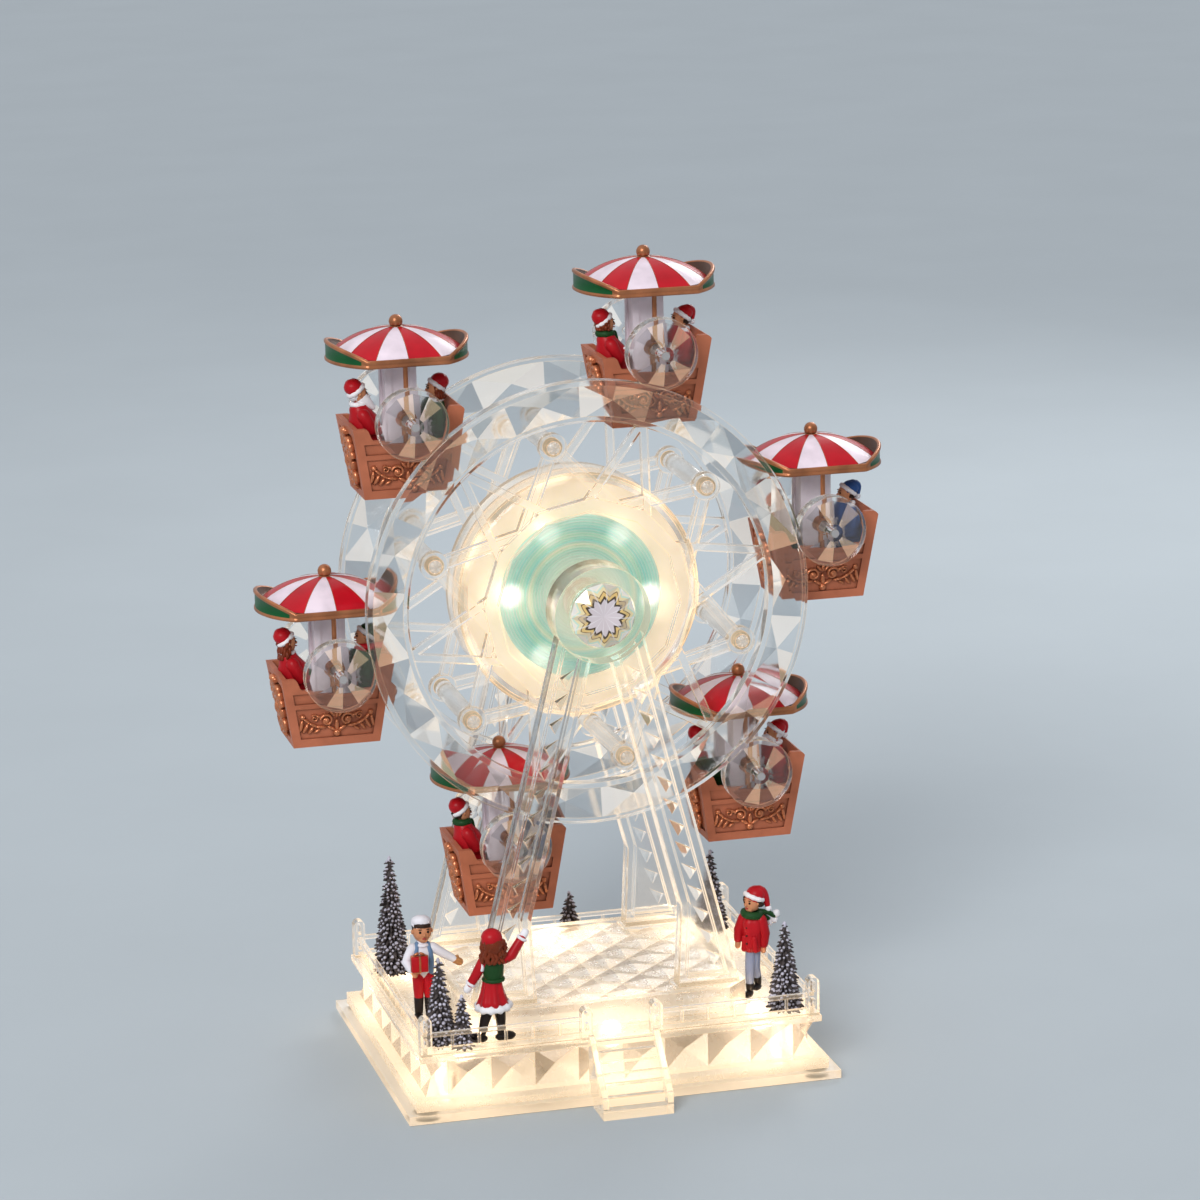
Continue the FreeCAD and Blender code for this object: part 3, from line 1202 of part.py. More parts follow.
def make_base_plate():
    """Bottom plate on four feet, with battery bay, switch slot, grille and screw holes."""
    body = new_body("BasePlate")
    plate = new_sketch(body, "plate_outline", "XY_Plane")
    rectangle(plate, "-Dims.plate_width/2", "Dims.plate_width/2", "-Dims.plate_depth/2",
              "Dims.plate_depth/2")
    pad(body, plate, "plate", "Dims.plate_thick")
    feet = new_sketch(body, "feet_outline", "XY_Plane")
    for x in ("-(Dims.plate_width/2-Dims.foot_inset)", "Dims.plate_width/2-Dims.foot_inset"):
        for y in ("-(Dims.plate_depth/2-Dims.foot_inset)", "Dims.plate_depth/2-Dims.foot_inset"):
            circle(feet, x, y, "Dims.foot_radius")
    pad(body, feet, "feet", "Dims.foot_height", False, True)
    bay_x = "Dims.cell_count*Dims.cell_pitch/2"
    bay_y = "Dims.cell_length/2+Dims.cell_tip+Dims.contact_thick"
    outer_x = bay_x + "+Dims.bay_wall"
    outer_y = bay_y + "+Dims.bay_wall"
    bay = new_sketch(body, "bay_outline", "XY_Plane")
    rectangle(bay, "Dims.cell_x-(" + outer_x + ")", "Dims.cell_x+" + outer_x,
              "Dims.cell_y-(" + outer_y + ")", "Dims.cell_y+" + outer_y)
    pad(body, bay, "bay", "Dims.plate_thick+Dims.bay_height")
    room = new_sketch(body, "bay_room", "XY_Plane")
    rectangle(room, "Dims.cell_x-" + bay_x, "Dims.cell_x+" + bay_x,
              "Dims.cell_y-(" + bay_y + ")", "Dims.cell_y+" + bay_y)
    pocket(body, room, "bay_opening", "Dims.plate_thick+Dims.bay_height+1", False, True)
    slot = new_sketch(body, "switch_slot", "XY_Plane")
    rectangle(slot, "Dims.switch_x-Dims.switch_stem/2-Dims.switch_clear",
              "Dims.switch_x+Dims.switch_stem/2+Dims.switch_travel+Dims.switch_clear",
              "Dims.switch_y-Dims.switch_stem/2-Dims.switch_clear",
              "Dims.switch_y+Dims.switch_stem/2+Dims.switch_clear")
    pocket(body, slot, "switch_way", "Dims.plate_thick+1", False, True)
    grille = new_sketch(body, "grille_hole", "XY_Plane")
    circle(grille, "Dims.speaker_x", "Dims.speaker_y", "Dims.grille_hole")
    for k in range(count("grille_count")):
        angle = "%.4f deg" % (360.0 * k / count("grille_count"))
        circle(grille, "Dims.speaker_x+Dims.grille_circle*cos(%s)" % angle,
               "Dims.speaker_y+Dims.grille_circle*sin(%s)" % angle, "Dims.grille_hole")
    pocket(body, grille, "grille", "Dims.plate_thick+1", False, True)
    heads = new_sketch(body, "screw_heads", "XY_Plane")
    shanks = new_sketch(body, "screw_shanks", "XY_Plane")
    for x in ("-Dims.screw_x", "Dims.screw_x"):
        for y in ("-Dims.screw_y", "Dims.screw_y"):
            circle(heads, x, y, "Dims.screw_head+Dims.switch_clear")
            circle(shanks, x, y, "Dims.screw_radius+Dims.switch_clear")
    pocket(body, shanks, "screw_ways", "Dims.plate_thick+1", False, True)
    pocket(body, heads, "screw_sinks", "Dims.screw_head_height+Dims.switch_clear", False, True)
    posts = new_sketch(body, "board_posts", "XY_Plane")
    for x in ("-1", "1"):
        for y in ("-1", "1"):
            inset = "Dims.sound_post"
            circle(posts, "Dims.sound_x+%s*(Dims.sound_width/2-%s)" % (x, inset),
                   "Dims.sound_y+%s*(Dims.sound_depth/2-%s)" % (y, inset), "Dims.sound_post")
    pad(body, posts, "board_carriers", "Dims.plate_thick+Dims.sound_lift")
    pins = new_sketch(body, "hinge_seats", "YZ_Plane")
    circle(pins, hinge_y_expression(), "Dims.door_thick/2", "Dims.door_pin+Dims.run_clear")
    pocket(body, pins, "hinge_holes", "Dims.cell_x+" + bay_x
           + "+Dims.door_pin_length+Dims.door_clear", False, True)
    bind(body, Placement__Base__z="Dims.foot_height")
    keep_body(body, "base_plate")


def hinge_y_expression():
    """Hinge line of the battery door, one half thickness in from its edge."""
    return ("Dims.cell_y-(Dims.cell_length/2+Dims.cell_tip+Dims.contact_thick)"
            "+Dims.door_clear+Dims.door_thick/2")


def floor_height():
    """Top of the bottom plate above the table."""
    return dim("foot_height") + dim("plate_thick")


def bay_half_y():
    return dim("cell_length") / 2 + dim("cell_tip") + dim("contact_thick")


def battery_door():
    """Flush door with a rounded hinge edge, two pins and a finger notch."""
    half_x = count("cell_count") * dim("cell_pitch") / 2 - dim("door_clear")
    low = dim("cell_y") - bay_half_y() + dim("door_clear")
    high = dim("cell_y") + bay_half_y() - dim("door_clear")
    radius = dim("door_thick") / 2
    x = dim("cell_x")
    under = dim("foot_height")
    leaf = box(x - half_x, x + half_x, low + radius, high, under, under + dim("door_thick"))
    hinge = V(x, low + radius, under + radius)
    barrel = Part.makeCylinder(radius, 2 * half_x, hinge - V(half_x, 0, 0), V(1, 0, 0))
    reach = half_x + dim("door_pin_length")
    pin = Part.makeCylinder(dim("door_pin"), 2 * reach, hinge - V(reach, 0, 0), V(1, 0, 0))
    notch = Part.makeCylinder(dim("latch_width") / 2, 1.0, V(x, high, under))
    return fused([leaf, barrel, pin]).cut(notch)


def make_inside():
    """Cells, contacts, sound board, speaker, switch slide, screws and deck lights."""
    floor = floor_height()
    cells, contacts = [], []
    for k in range(count("cell_count")):
        x = dim("cell_x") + (k - (count("cell_count") - 1) / 2.0) * dim("cell_pitch")
        z = floor + dim("cell_lift") + dim("cell_radius")
        low = dim("cell_y") - dim("cell_length") / 2
        flip = -1 if k % 2 else 1
        tip_low, tip_high = sorted((flip * dim("cell_length") / 2,
                                    flip * (dim("cell_length") / 2 + dim("cell_tip"))))
        can = tube_y(dim("cell_radius"), low, low + dim("cell_length"), x, z)
        tip = tube_y(dim("cell_tip_radius"), dim("cell_y") + tip_low, dim("cell_y") + tip_high, x, z)
        cells.append(can.fuse(tip))
        for side in (-1, 1):
            wall = dim("cell_y") + side * bay_half_y()
            y_low, y_high = sorted((wall, wall - side * dim("contact_thick")))
            half = dim("contact_width") / 2
            contact = box(x - half, x + half, y_low, y_high, z - half, z + half)
            if side != flip:
                face = V(x, wall - side * dim("contact_thick"), z)
                contact = contact.fuse(Part.makeCone(dim("contact_spring"), dim("contact_spring") / 2,
                                                     dim("cell_tip"), face, V(0, -side, 0)))
            contacts.append(contact)
    add_part("battery_cells", Part.makeCompound(cells))
    add_part("battery_contacts", Part.makeCompound(contacts))
    add_part("battery_door", battery_door())

    x, y = dim("sound_x"), dim("sound_y")
    low = floor + dim("sound_lift")
    board = box(x - dim("sound_width") / 2, x + dim("sound_width") / 2,
                y - dim("sound_depth") / 2, y + dim("sound_depth") / 2,
                low, low + dim("board_thick"))
    chip = dim("chip_size") / 2
    top = low + dim("board_thick")
    chip_block = box(x + 8 - chip, x + 8 + chip, y - chip, y + chip, top, top + dim("chip_height"))
    case = dim("switch_case") / 2
    case_x = dim("switch_x") + dim("switch_travel") / 2
    flange_low = floor + dim("slide_gap")
    flange_top = flange_low + dim("switch_flange_thick")
    case_block = box(case_x - case, case_x + case, dim("switch_y") - 3, dim("switch_y") + 3,
                     flange_top + dim("slide_gap"), low)
    add_part("sound_board", fused([board, chip_block, case_block]))

    stem = dim("switch_stem") / 2
    flange = dim("switch_flange") / 2
    slide = fused([
        box(dim("switch_x") - stem, dim("switch_x") + stem, dim("switch_y") - stem,
            dim("switch_y") + stem, dim("foot_height") + dim("switch_sink"), flange_top),
        box(dim("switch_x") - flange, dim("switch_x") + flange, dim("switch_y") - flange,
            dim("switch_y") + flange, flange_low, flange_top)])
    add_part("switch_slide", slide)

    centre = V(dim("speaker_x"), dim("speaker_y"), floor)
    basket = Part.makeCone(dim("speaker_radius"), dim("magnet_radius"), dim("speaker_height"), centre)
    magnet = Part.makeCylinder(dim("magnet_radius"), dim("magnet_height"),
                               centre + V(0, 0, dim("speaker_height")))
    add_part("speaker", fused([basket, magnet]))

    screws = []
    for sx in (-1, 1):
        for sy in (-1, 1):
            place = V(sx * dim("screw_x"), sy * dim("screw_y"),
                      dim("foot_height") + dim("switch_clear"))
            head = Part.makeCylinder(dim("screw_head"), dim("screw_head_height"), place)
            shank = Part.makeCylinder(dim("screw_radius"), dim("screw_length"), place)
            screws.append(head.fuse(shank))
    add_part("case_screws", Part.makeCompound(screws))

    lights = []
    under_deck = dim("deck_height") - dim("ledge_thick")
    for lx, ly in DECK_LIGHTS:
        place = V(lx, ly, under_deck - dim("deck_led_height"))
        lights.append(Part.makeCylinder(dim("deck_led_radius"), dim("deck_led_height"), place))
    add_part("deck_lights", Part.makeCompound(lights))


# Lights under the deck, as places (x, y) in millimetres
DECK_LIGHTS = ((-62, -44), (62, -44), (-62, 44), (62, 44), (0, -48), (0, 48))

# Snowy trees, as (side, from that side, end, from that end, height, radius); -1 is left or front
TREES = ((-1, 11.7, 1, 28.9, 51.5, 7.4), (-1, 11.5, -1, 14.4, 36.0, 6.0),
         (-1, 19.2, -1, 8.3, 21.3, 3.7), (1, 11.5, -1, 12.4, 37.0, 6.4),
         (1, 11.0, 1, 12.9, 35.0, 6.4), (1, 72.5, 1, 9.9, 21.3, 4.2))


def on_deck(side, from_side, end, from_end):
    """Place on the deck, measured in from the ledge's edges."""
    return (side * (dim("ledge_width") / 2 - from_side),
            end * (dim("ledge_depth") / 2 - from_end))


def tree(x, y, height, radius):
    """Fir with drooping tiers on a short trunk."""
    low = dim("deck_height")
    tiers = 6
    trunk = height * 0.06
    step = (height - trunk) / tiers
    profile = [V(0, 0, 0), V(radius * 0.22, 0, 0), V(radius * 0.22, 0, trunk)]
    for k in range(tiers):
        share = 1.0 - k / float(tiers)
        profile.append(V(radius * share, 0, trunk + step * k))
        inner = radius * (share - 1.0 / tiers) + radius * 0.02
        if k < tiers - 1:
            profile.append(V(inner * 0.82, 0, trunk + step * (k + 1)))
    profile.append(V(0, 0, height))
    shape = face_of(profile).revolve(V(0, 0, 0), V(0, 0, 1), 360)
    shape.translate(V(x, y, low))
    return shape


def standing(x, y, height, turn, pose):
    """Small standing figure built from its feet up and turned to face its way."""
    unit = height / 46.0

    def at(px, py, pz):
        return V(px * unit, py * unit, pz * unit)

    pieces = []
    for side in (-1, 1):
        shoe = box(-1.7 * unit, 1.7 * unit, -4.4 * unit, 1.8 * unit, 0, 2.4 * unit)
        shoe.translate(at(side * 2.3, 0, 0))
        pieces.append(shoe)
        pieces.append(limb(at(side * 2.3, 0, 0.6), at(side * 2.1, 0, 19), 1.7 * unit, 2.3 * unit))
    if pose["skirt"]:
        pieces.append(limb(at(0, 0, 12), at(0, 0, 24), 6.4 * unit, 3.2 * unit))
    pieces.append(limb(at(0, 0, 17), at(0, 0, 32), 4.0 * unit, 3.6 * unit))
    for side, (elbow, hand) in zip((-1, 1), pose["arms"]):
        shoulder = at(side * 3.6, 0, 30.4)
        pieces.append(limb(shoulder, at(*elbow), 1.8 * unit, 1.6 * unit))
        pieces.append(ball(at(*elbow), 1.6 * unit))
        pieces.append(limb(at(*elbow), at(*hand), 1.6 * unit, 1.4 * unit))
        pieces.append(ball(at(*hand), 1.7 * unit))
    pieces.append(ball(at(0, 0, 38.2), 4.4 * unit))
    pieces.append(limb(at(0, 0, 31), at(0, 0, 36), 2.0 * unit, 2.0 * unit))
    pieces.append(limb(at(0, 0, 40.0), at(0, 0.6, 46), 4.7 * unit, 2.6 * unit))
    if pose["gift"]:
        gift = box(-7.2 * unit, -0.4 * unit, -7.6 * unit, -2.0 * unit, 20.4 * unit, 27.6 * unit)
        pieces.append(gift)
    figure = fused(pieces)
    figure.rotate(V(0, 0, 0), V(0, 0, 1), turn)
    figure.translate(V(x, y, dim("deck_height")))
    return figure


BOY_WITH_GIFT = {"skirt": False, "gift": True,
                 "arms": (((-6.6, -0.6, 24.0), (-5.4, -5.0, 20.6)),
                          ((8.2, -1.0, 27.4), (13.2, -2.2, 24.2)))}
WAVING_GIRL = {"skirt": True, "gift": False,
               "arms": (((-8.4, -0.6, 29.6), (-9.8, -1.2, 38.0)),
                        ((6.6, -0.4, 24.0), (9.4, -0.8, 18.6)))}
BOY_WITH_SCARF = {"skirt": False, "gift": False,
                  "arms": (((-6.2, -0.8, 25.0), (-5.6, -2.6, 19.2)),
                           ((6.2, -0.8, 25.0), (5.0, -3.4, 30.2)))}


def make_figures():
    """Three figures and the trees, each placed from the edges of the deck."""
    gift_place = on_deck(-1, 12.1, -1, 48.4)
    girl_place = on_deck(-1, 33.2, -1, 10.9)
    scarf_place = on_deck(1, 18.2, -1, 33.2)
    add_part("boy_with_gift", standing(*gift_place, height=44.2, turn=12.0, pose=BOY_WITH_GIFT))
    add_part("waving_girl", standing(*girl_place, height=46.4, turn=180.0, pose=WAVING_GIRL))
    add_part("boy_with_scarf", standing(*scarf_place, height=48.2, turn=-35.0,
                                        pose=BOY_WITH_SCARF))
    trees = [tree(*on_deck(*row[:4]), height=row[4], radius=row[5]) for row in TREES]
    add_part("snowy_trees", Part.makeCompound(trees))


def check_parts():
    """Stop before writing if anything failed to build."""
    for item in doc.Objects:
        if "Invalid" in item.State or "Error" in item.State:
            raise RuntimeError("%s is in state %s" % (item.Name, item.State))
    for item in PARTS:
        if item.Shape.isNull() or not item.Shape.isValid() or item.Shape.Volume <= 0:
            raise RuntimeError("%s has no sound shape" % item.Label)


def write_parts():
    os.makedirs("parts", exist_ok=True)
    for item in PARTS:
        item.Shape.exportStep(os.path.join("parts", item.Label + ".step"))


make_base_plate()
make_stairs()
make_drum()
make_core()
make_lights()
make_wheel()
make_a_frames()
add_part("plinth_shell", plinth())
add_part("quilted_platform", platform())
add_part("balustrade", balustrade())
make_inside()
make_figures()
make_gondolas()
doc.recompute()
check_parts()
write_parts()
print("wrote %d parts" % len(PARTS))
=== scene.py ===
import json
import math
import random

import bmesh
import bpy
from bpy.props import FloatProperty, FloatVectorProperty, IntProperty, PointerProperty
from mathutils import Matrix, Vector, noise


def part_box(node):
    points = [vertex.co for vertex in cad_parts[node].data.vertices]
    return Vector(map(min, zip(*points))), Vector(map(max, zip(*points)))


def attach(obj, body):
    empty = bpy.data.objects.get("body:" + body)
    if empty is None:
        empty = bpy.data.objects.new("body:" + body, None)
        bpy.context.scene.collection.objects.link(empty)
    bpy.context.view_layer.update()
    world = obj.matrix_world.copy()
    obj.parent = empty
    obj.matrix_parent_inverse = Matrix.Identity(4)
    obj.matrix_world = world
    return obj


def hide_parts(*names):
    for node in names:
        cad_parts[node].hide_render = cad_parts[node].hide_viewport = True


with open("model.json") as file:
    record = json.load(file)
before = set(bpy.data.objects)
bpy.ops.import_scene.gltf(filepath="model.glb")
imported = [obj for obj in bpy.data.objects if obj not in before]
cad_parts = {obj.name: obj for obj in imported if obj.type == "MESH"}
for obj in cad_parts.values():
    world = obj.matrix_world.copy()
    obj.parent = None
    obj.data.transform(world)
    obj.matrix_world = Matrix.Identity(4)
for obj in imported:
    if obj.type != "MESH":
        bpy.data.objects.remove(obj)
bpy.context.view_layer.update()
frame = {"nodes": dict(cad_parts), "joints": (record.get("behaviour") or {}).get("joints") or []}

bl_info = {
    "name": "Clear Ferris wheel",
    "version": (1, 0, 0),
    "blender": (4, 5, 0),
    "location": "View3D > Sidebar > Ferris wheel",
    "description": "Dresses a clear, lit Ferris wheel with gondolas, riders and snowy trees",
    "category": "Object",
}

MM = 0.001
NODES = frame["nodes"]
JOINTS = {joint["name"]: joint for joint in frame["joints"]}
AXLE = Vector(JOINTS["wheel_spin"]["pos_m"])
GONDOLAS = range(1, 7)
TREES = 6
LAMPS, LAMP_CIRCLE, LAMP_TURN = 6, 28.6 * MM, math.radians(-4)
EDGE_HIGHLIGHT = (1.0, 0.66, 0.36)       # colour of the painted highlight on clear plastic's edges
BARE_PIN = (0.50, 0.47, 0.46)
LENS_SHIFT = (-0.00314, -0.00193)       # from the picture's middle to the lens's axis


def pivot_of(k):
    """Place of a gondola's pins at rest."""
    return Vector(JOINTS["gondola_%d_swing" % k]["pos_m"])


def local_box(k, piece):
    """Corners of a gondola's CAD piece from its pivot, in millimetres."""
    low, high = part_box("gondola_%d_%s" % (k, piece))
    return (low - pivot_of(k)) / MM, (high - pivot_of(k)) / MM


def shells_of(node):
    """Lowest and highest corner of each loose shell of a CAD piece."""
    shells = bmesh.new()
    shells.from_mesh(NODES[node].data)
    bmesh.ops.remove_doubles(shells, verts=shells.verts, dist=1e-5)
    left = set(shells.verts)
    corners = []
    while left:
        stack = [left.pop()]
        shell = set(stack)
        while stack:
            for edge in stack.pop().link_edges:
                for vert in edge.verts:
                    if vert in left:
                        left.discard(vert)
                        shell.add(vert)
                        stack.append(vert)
        sides = [[vert.co[i] for vert in shell] for i in range(3)]
        corners.append((Vector(map(min, sides)), Vector(map(max, sides))))
    shells.free()
    return sorted(corners, key=lambda pair: tuple(round(c, 5) for c in pair[0]))


# Settings shown in the panel


class CanopySettings(bpy.types.PropertyGroup):
    gores: IntProperty(name="Gores", description="Painted segments of the dome", default=12, min=4)
    seam: FloatProperty(name="Seam", description="Radius of a gold seam in millimetres",
                        default=0.12)
    inset: FloatProperty(name="End gap", description="Dome behind the upturned ends, millimetres",
                         default=2.7)
    red: FloatVectorProperty(name="Red gores", description="Enamel of every second gore",
                             subtype="COLOR", size=3, default=(0.47, 0.003, 0.012))
    white: FloatVectorProperty(name="White gores", description="Enamel between the red gores",
                               subtype="COLOR", size=3, default=(0.78, 0.66, 0.73))
    green: FloatVectorProperty(name="End walls", description="Enamel of the upturned ends",
                               subtype="COLOR", size=3, default=(0.003, 0.075, 0.018))
    gold: FloatVectorProperty(name="Gold paint", description="Bands, seams, ball and rods",
                              subtype="COLOR", size=3, default=(0.42, 0.155, 0.065))


class TreeSettings(bpy.types.PropertyGroup):
    boughs: IntProperty(name="Boughs", description="Boughs on the tallest tree", default=1500)
    droop: FloatProperty(name="Droop", description="How far a bough hangs, degrees", default=18.0)
    seed: IntProperty(name="Seed", description="Scatter of the boughs", default=7)


class LightSettings(bpy.types.PropertyGroup):
    # Drum and deck set the painted glow of the clear plastic; warm colours the lamps and that
    # painted glow.
    warm: FloatVectorProperty(name="Glow", description="Colour of the built in lights",
                              subtype="COLOR", size=3, default=(1.0, 0.74, 0.48))
    drum: FloatProperty(name="Drum glow", description="Glow of the plastic near the drum",
                        default=0.068)
    deck: FloatProperty(name="Deck glow", description="Glow of the plastic over the base lights",
                        default=0.13)
    lamp: FloatProperty(name="Lamp strength", description="Strength of one lamp", default=6.0)


class StageSettings(bpy.types.PropertyGroup):
    azimuth: FloatProperty(name="Azimuth", description="Camera to the left of the front, degrees",
                           default=14.615)
    elevation: FloatProperty(name="Elevation", description="Camera above level, degrees",
                             default=13.916)
    roll: FloatProperty(name="Roll", description="Camera roll, degrees", default=-1.13)
    distance: FloatProperty(name="Distance", description="Camera to the wheel, metres",
                            subtype="DISTANCE", default=1.7262)
    lens: FloatProperty(name="Lens", description="Focal length in millimetres", default=128.8)
    aim_right: FloatProperty(name="Aim right", description="Aim beside the axle, metres",
                             subtype="DISTANCE", default=0.0126)
    aim_up: FloatProperty(name="Aim height", description="Aim above the table, metres",
                          subtype="DISTANCE", default=0.18942)
    backdrop: FloatVectorProperty(name="Backdrop", description="Colour of the floor and behind it",
                                  subtype="COLOR", size=3, default=(0.46, 0.51, 0.54))


# Materials


def add_node(tree, kind, inputs=None, **options):
    """Add a node to a tree, set its options and fill or link its inputs."""
    node = tree.nodes.new(kind)
    for name, value in options.items():
        setattr(node, name, value)
    for key, value in (inputs or {}).items():
        if isinstance(value, bpy.types.NodeSocket):
            tree.links.new(value, node.inputs[key])
        else:
            node.inputs[key].default_value = value
    return node


def opaque(colour):
    return (colour[0], colour[1], colour[2], 1.0)


def shade(colour, factor):
    """A colour made lighter or darker."""
    return tuple(min(1.0, channel * factor) for channel in colour)


def ramp_stops(ramp, first, second, *others):
    """Set the places and colours of a colour ramp."""
    stops = ramp.color_ramp.elements
    for stop, (place, colour) in zip(stops, (first, second)):
        stop.position, stop.color = place, opaque(colour)
    for place, colour in others:
        stops.new(place).color = opaque(colour)


class Finish:
    """A Principled material with grain of its own in colour, gloss and surface."""

    def __init__(self, name, colour, roughness=0.45, metallic=0.0, grain=900.0, mottle=0.12,
                 bump=0.06, depth=0.00025, **sockets):
        self.material = bpy.data.materials.new(name)
        self.material.use_nodes = True
        self.tree = self.material.node_tree
        self.shader = self.tree.nodes["Principled BSDF"]
        self.shader.inputs["Metallic"].default_value = metallic
        for socket, value in sockets.items():
            self.shader.inputs[socket.replace("_", " ")].default_value = value
        self.place = self.node("TexCoord").outputs["Object"]
        self.grain = self.node("TexNoise", {"Vector": self.place, "Scale": grain,
                                            "Detail": 4.0, "Roughness": 0.6})
        patches = self.node("TexNoise", {"Vector": self.place, "Scale": grain * 0.13,
                                         "Detail": 3.0})
        ramp = self.node("ValToRGB", {"Fac": patches.outputs["Fac"]})
        ramp_stops(ramp, (0.3, shade(colour, 1.0 - mottle)), (0.7, shade(colour, 1.0 + mottle)))
        self.paint(ramp.outputs["Color"])
        gloss = self.node("MapRange", {
            "Value": self.grain.outputs["Fac"], "To Min": max(0.0, roughness - 0.08),
            "To Max": min(1.0, roughness + 0.12)})
        self.link("Roughness", gloss.outputs["Result"])
        relief = self.node("Bump", {"Height": self.grain.outputs["Fac"],
                                    "Strength": bump, "Distance": depth})
        self.bump = relief
        self.link("Normal", relief.outputs["Normal"])

    def node(self, kind, inputs=None, **options):
        """Add a shader node to this finish."""
        return add_node(self.tree, "ShaderNode" + kind, inputs, **options)

    def link(self, socket, source):
        self.tree.links.new(source, self.shader.inputs[socket])

    def paint(self, colour):
        """Take the output of a node as the surface's colour."""
        self.colour = colour
        self.link("Base Color", colour)

    def axis(self, name):
        """One coordinate of the surface's place."""
        return self.node("SeparateXYZ", {"Vector": self.place}).outputs[name]

    def from_axle(self):
        """The surface's place seen from the wheel's axis, in its three parts."""
        moved = self.node("Mapping", {"Vector": self.place, "Location": -AXLE})
        return self.node("SeparateXYZ", {"Vector": moved.outputs["Vector"]}).outputs

    def radius(self):
        """Distance from the wheel's axis."""
        part = self.from_axle()
        flat = self.node("CombineXYZ", {"X": part["X"], "Z": part["Z"]})
        return self.node("VectorMath", {0: flat.outputs["Vector"]},
                         operation="LENGTH").outputs["Value"]

    def fade(self, value, near, far, at_near, at_far):
        """A smooth change between two distances."""
        return self.node("MapRange", {
            "Value": value, "From Min": near, "From Max": far, "To Min": at_near,
            "To Max": at_far}, interpolation_type="SMOOTHERSTEP").outputs["Result"]

    def maths(self, operation, first, second=0.0):
        return self.node("Math", {0: first, 1: second}, operation=operation).outputs["Value"]

    def mix(self, share, under, over):
        """Blend from one colour to another."""
        under, over = (colour if isinstance(colour, bpy.types.NodeSocket) else opaque(colour)
                       for colour in (under, over))
        return self.node("Mix", {"Factor": share, 6: under, 7: over},
                         data_type="RGBA").outputs[2]

    def normal(self):
        """The surface's direction, whole and in its three parts."""
        whole = self.node("TexCoord").outputs["Normal"]
        return whole, self.node("SeparateXYZ", {"Vector": whole}).outputs

    def wheel_facet_painted_light(self):
        """Painted light and shade of cut facets, by the way each leans out of the wheel's plane."""
        part = self.normal()[1]
        lean = self.maths("ARCTAN2", part["Z"], part["X"])
        wave = self.maths("COSINE", self.maths("MULTIPLY", lean, 7.0))
        level = self.maths("ABSOLUTE", part["Y"])
        cut = self.maths("MULTIPLY", self.fade(level, 0.15, 0.5, 0.0, 1.0),
                         self.fade(level, 0.998, 0.97, 0.0, 1.0))
        return self.maths("MULTIPLY", wave, cut)

    def wall_facet_painted_light(self):
        """Painted light and shade of cut facets on walls that face any way."""
        whole, part = self.normal()
        rolled = self.node("CombineXYZ", {"X": part["Y"], "Y": part["Z"], "Z": part["X"]})
        paired = self.node("VectorMath", {0: whole, 1: rolled.outputs["Vector"]},
                           operation="MULTIPLY")
        return self.node("VectorMath", {0: paired.outputs["Vector"], 1: (3.4, -2.0, 3.6)},
                         operation="DOT_PRODUCT").outputs["Value"]

    def angle(self):
        """Angle round the wheel's axis."""
        part = self.from_axle()
        return self.maths("ARCTAN2", part["Z"], part["X"])

    def around(self, count, turn=0.0):
        """Share from one spoke of a pattern round the axis to midway between two, 0 to 1."""
        steps = self.maths("MULTIPLY", self.maths("SUBTRACT", self.angle(), turn),
                           count / (2 * math.pi))
        return self.maths("MULTIPLY", self.maths("PINGPONG", steps, 0.5), 2.0)

    def from_ring(self, count, circle_radius, turn):
        """Distance from the nearest of a ring of places round the axis, seen along it."""
        radius = self.radius()
        apart = self.maths("MULTIPLY", self.around(count, turn), math.pi / count)
        reach = self.maths("ADD", self.maths("MULTIPLY", radius, radius), circle_radius ** 2)
        cross = self.maths("MULTIPLY", self.maths("MULTIPLY", radius, 2 * circle_radius),
                           self.maths("COSINE", apart))
        return self.maths("SQRT", self.maths("SUBTRACT", reach, cross))

    def painted_lamp_spots(self, near, far, strength):
        """Painted light round each of the drum's lamps, which aren't all equally bright."""
        spot = self.fade(self.from_ring(LAMPS, LAMP_CIRCLE, LAMP_TURN), near, far, strength, 0.0)
        wave = self.maths("COSINE", self.maths("MULTIPLY", self.angle(), 2.0))
        return self.maths("MULTIPLY", spot, self.fade(wave, -0.8, 0.9, 0.35, 1.0))

    def painted_halos(self, places, near, far, strength):
        """Painted light that falls off from each of some places."""
        total = 0.0
        for place in places:
            away = self.node("VectorMath", {0: self.place, 1: place},
                             operation="DISTANCE").outputs["Value"]
            total = self.maths("ADD", self.fade(away, near, far, strength, 0.0), total)
        return total

    def edges(self, width):
        """One where the surface turns a sharp edge, nought on its flats."""
        eased = self.node("Bevel", {"Radius": width}, samples=4)
        plain = self.node("NewGeometry")
        match = self.node("VectorMath", {0: eased.outputs["Normal"],
                                         1: plain.outputs["Normal"]},
                          operation="DOT_PRODUCT").outputs["Value"]
        return self.fade(match, 0.985, 0.86, 0.0, 1.0)

    def painted_corner_shade(self, colour, reach):
        """Painted shade that stays in the corners and round raised ornament, where little open sky
        reaches.
        """
        open_sky = self.node("AmbientOcclusion", {"Distance": reach}, samples=4)
        kept = self.fade(open_sky.outputs["AO"], 0.35, 0.9, 0.8, 0.0)
        self.paint(self.mix(kept, self.colour, colour))

    def glow(self, colour, strength):
        """Let the surface give off light, evenly or after a value."""
        self.shader.inputs["Emission Color"].default_value = opaque(colour)
        if isinstance(strength, bpy.types.NodeSocket):
            self.link("Emission Strength", strength)
        else:
            self.shader.inputs["Emission Strength"].default_value = strength
        return self


FINISHES = {}


def finish(name):
    return FINISHES[name].material


def settings():
    return bpy.context.scene.ferris_wheel


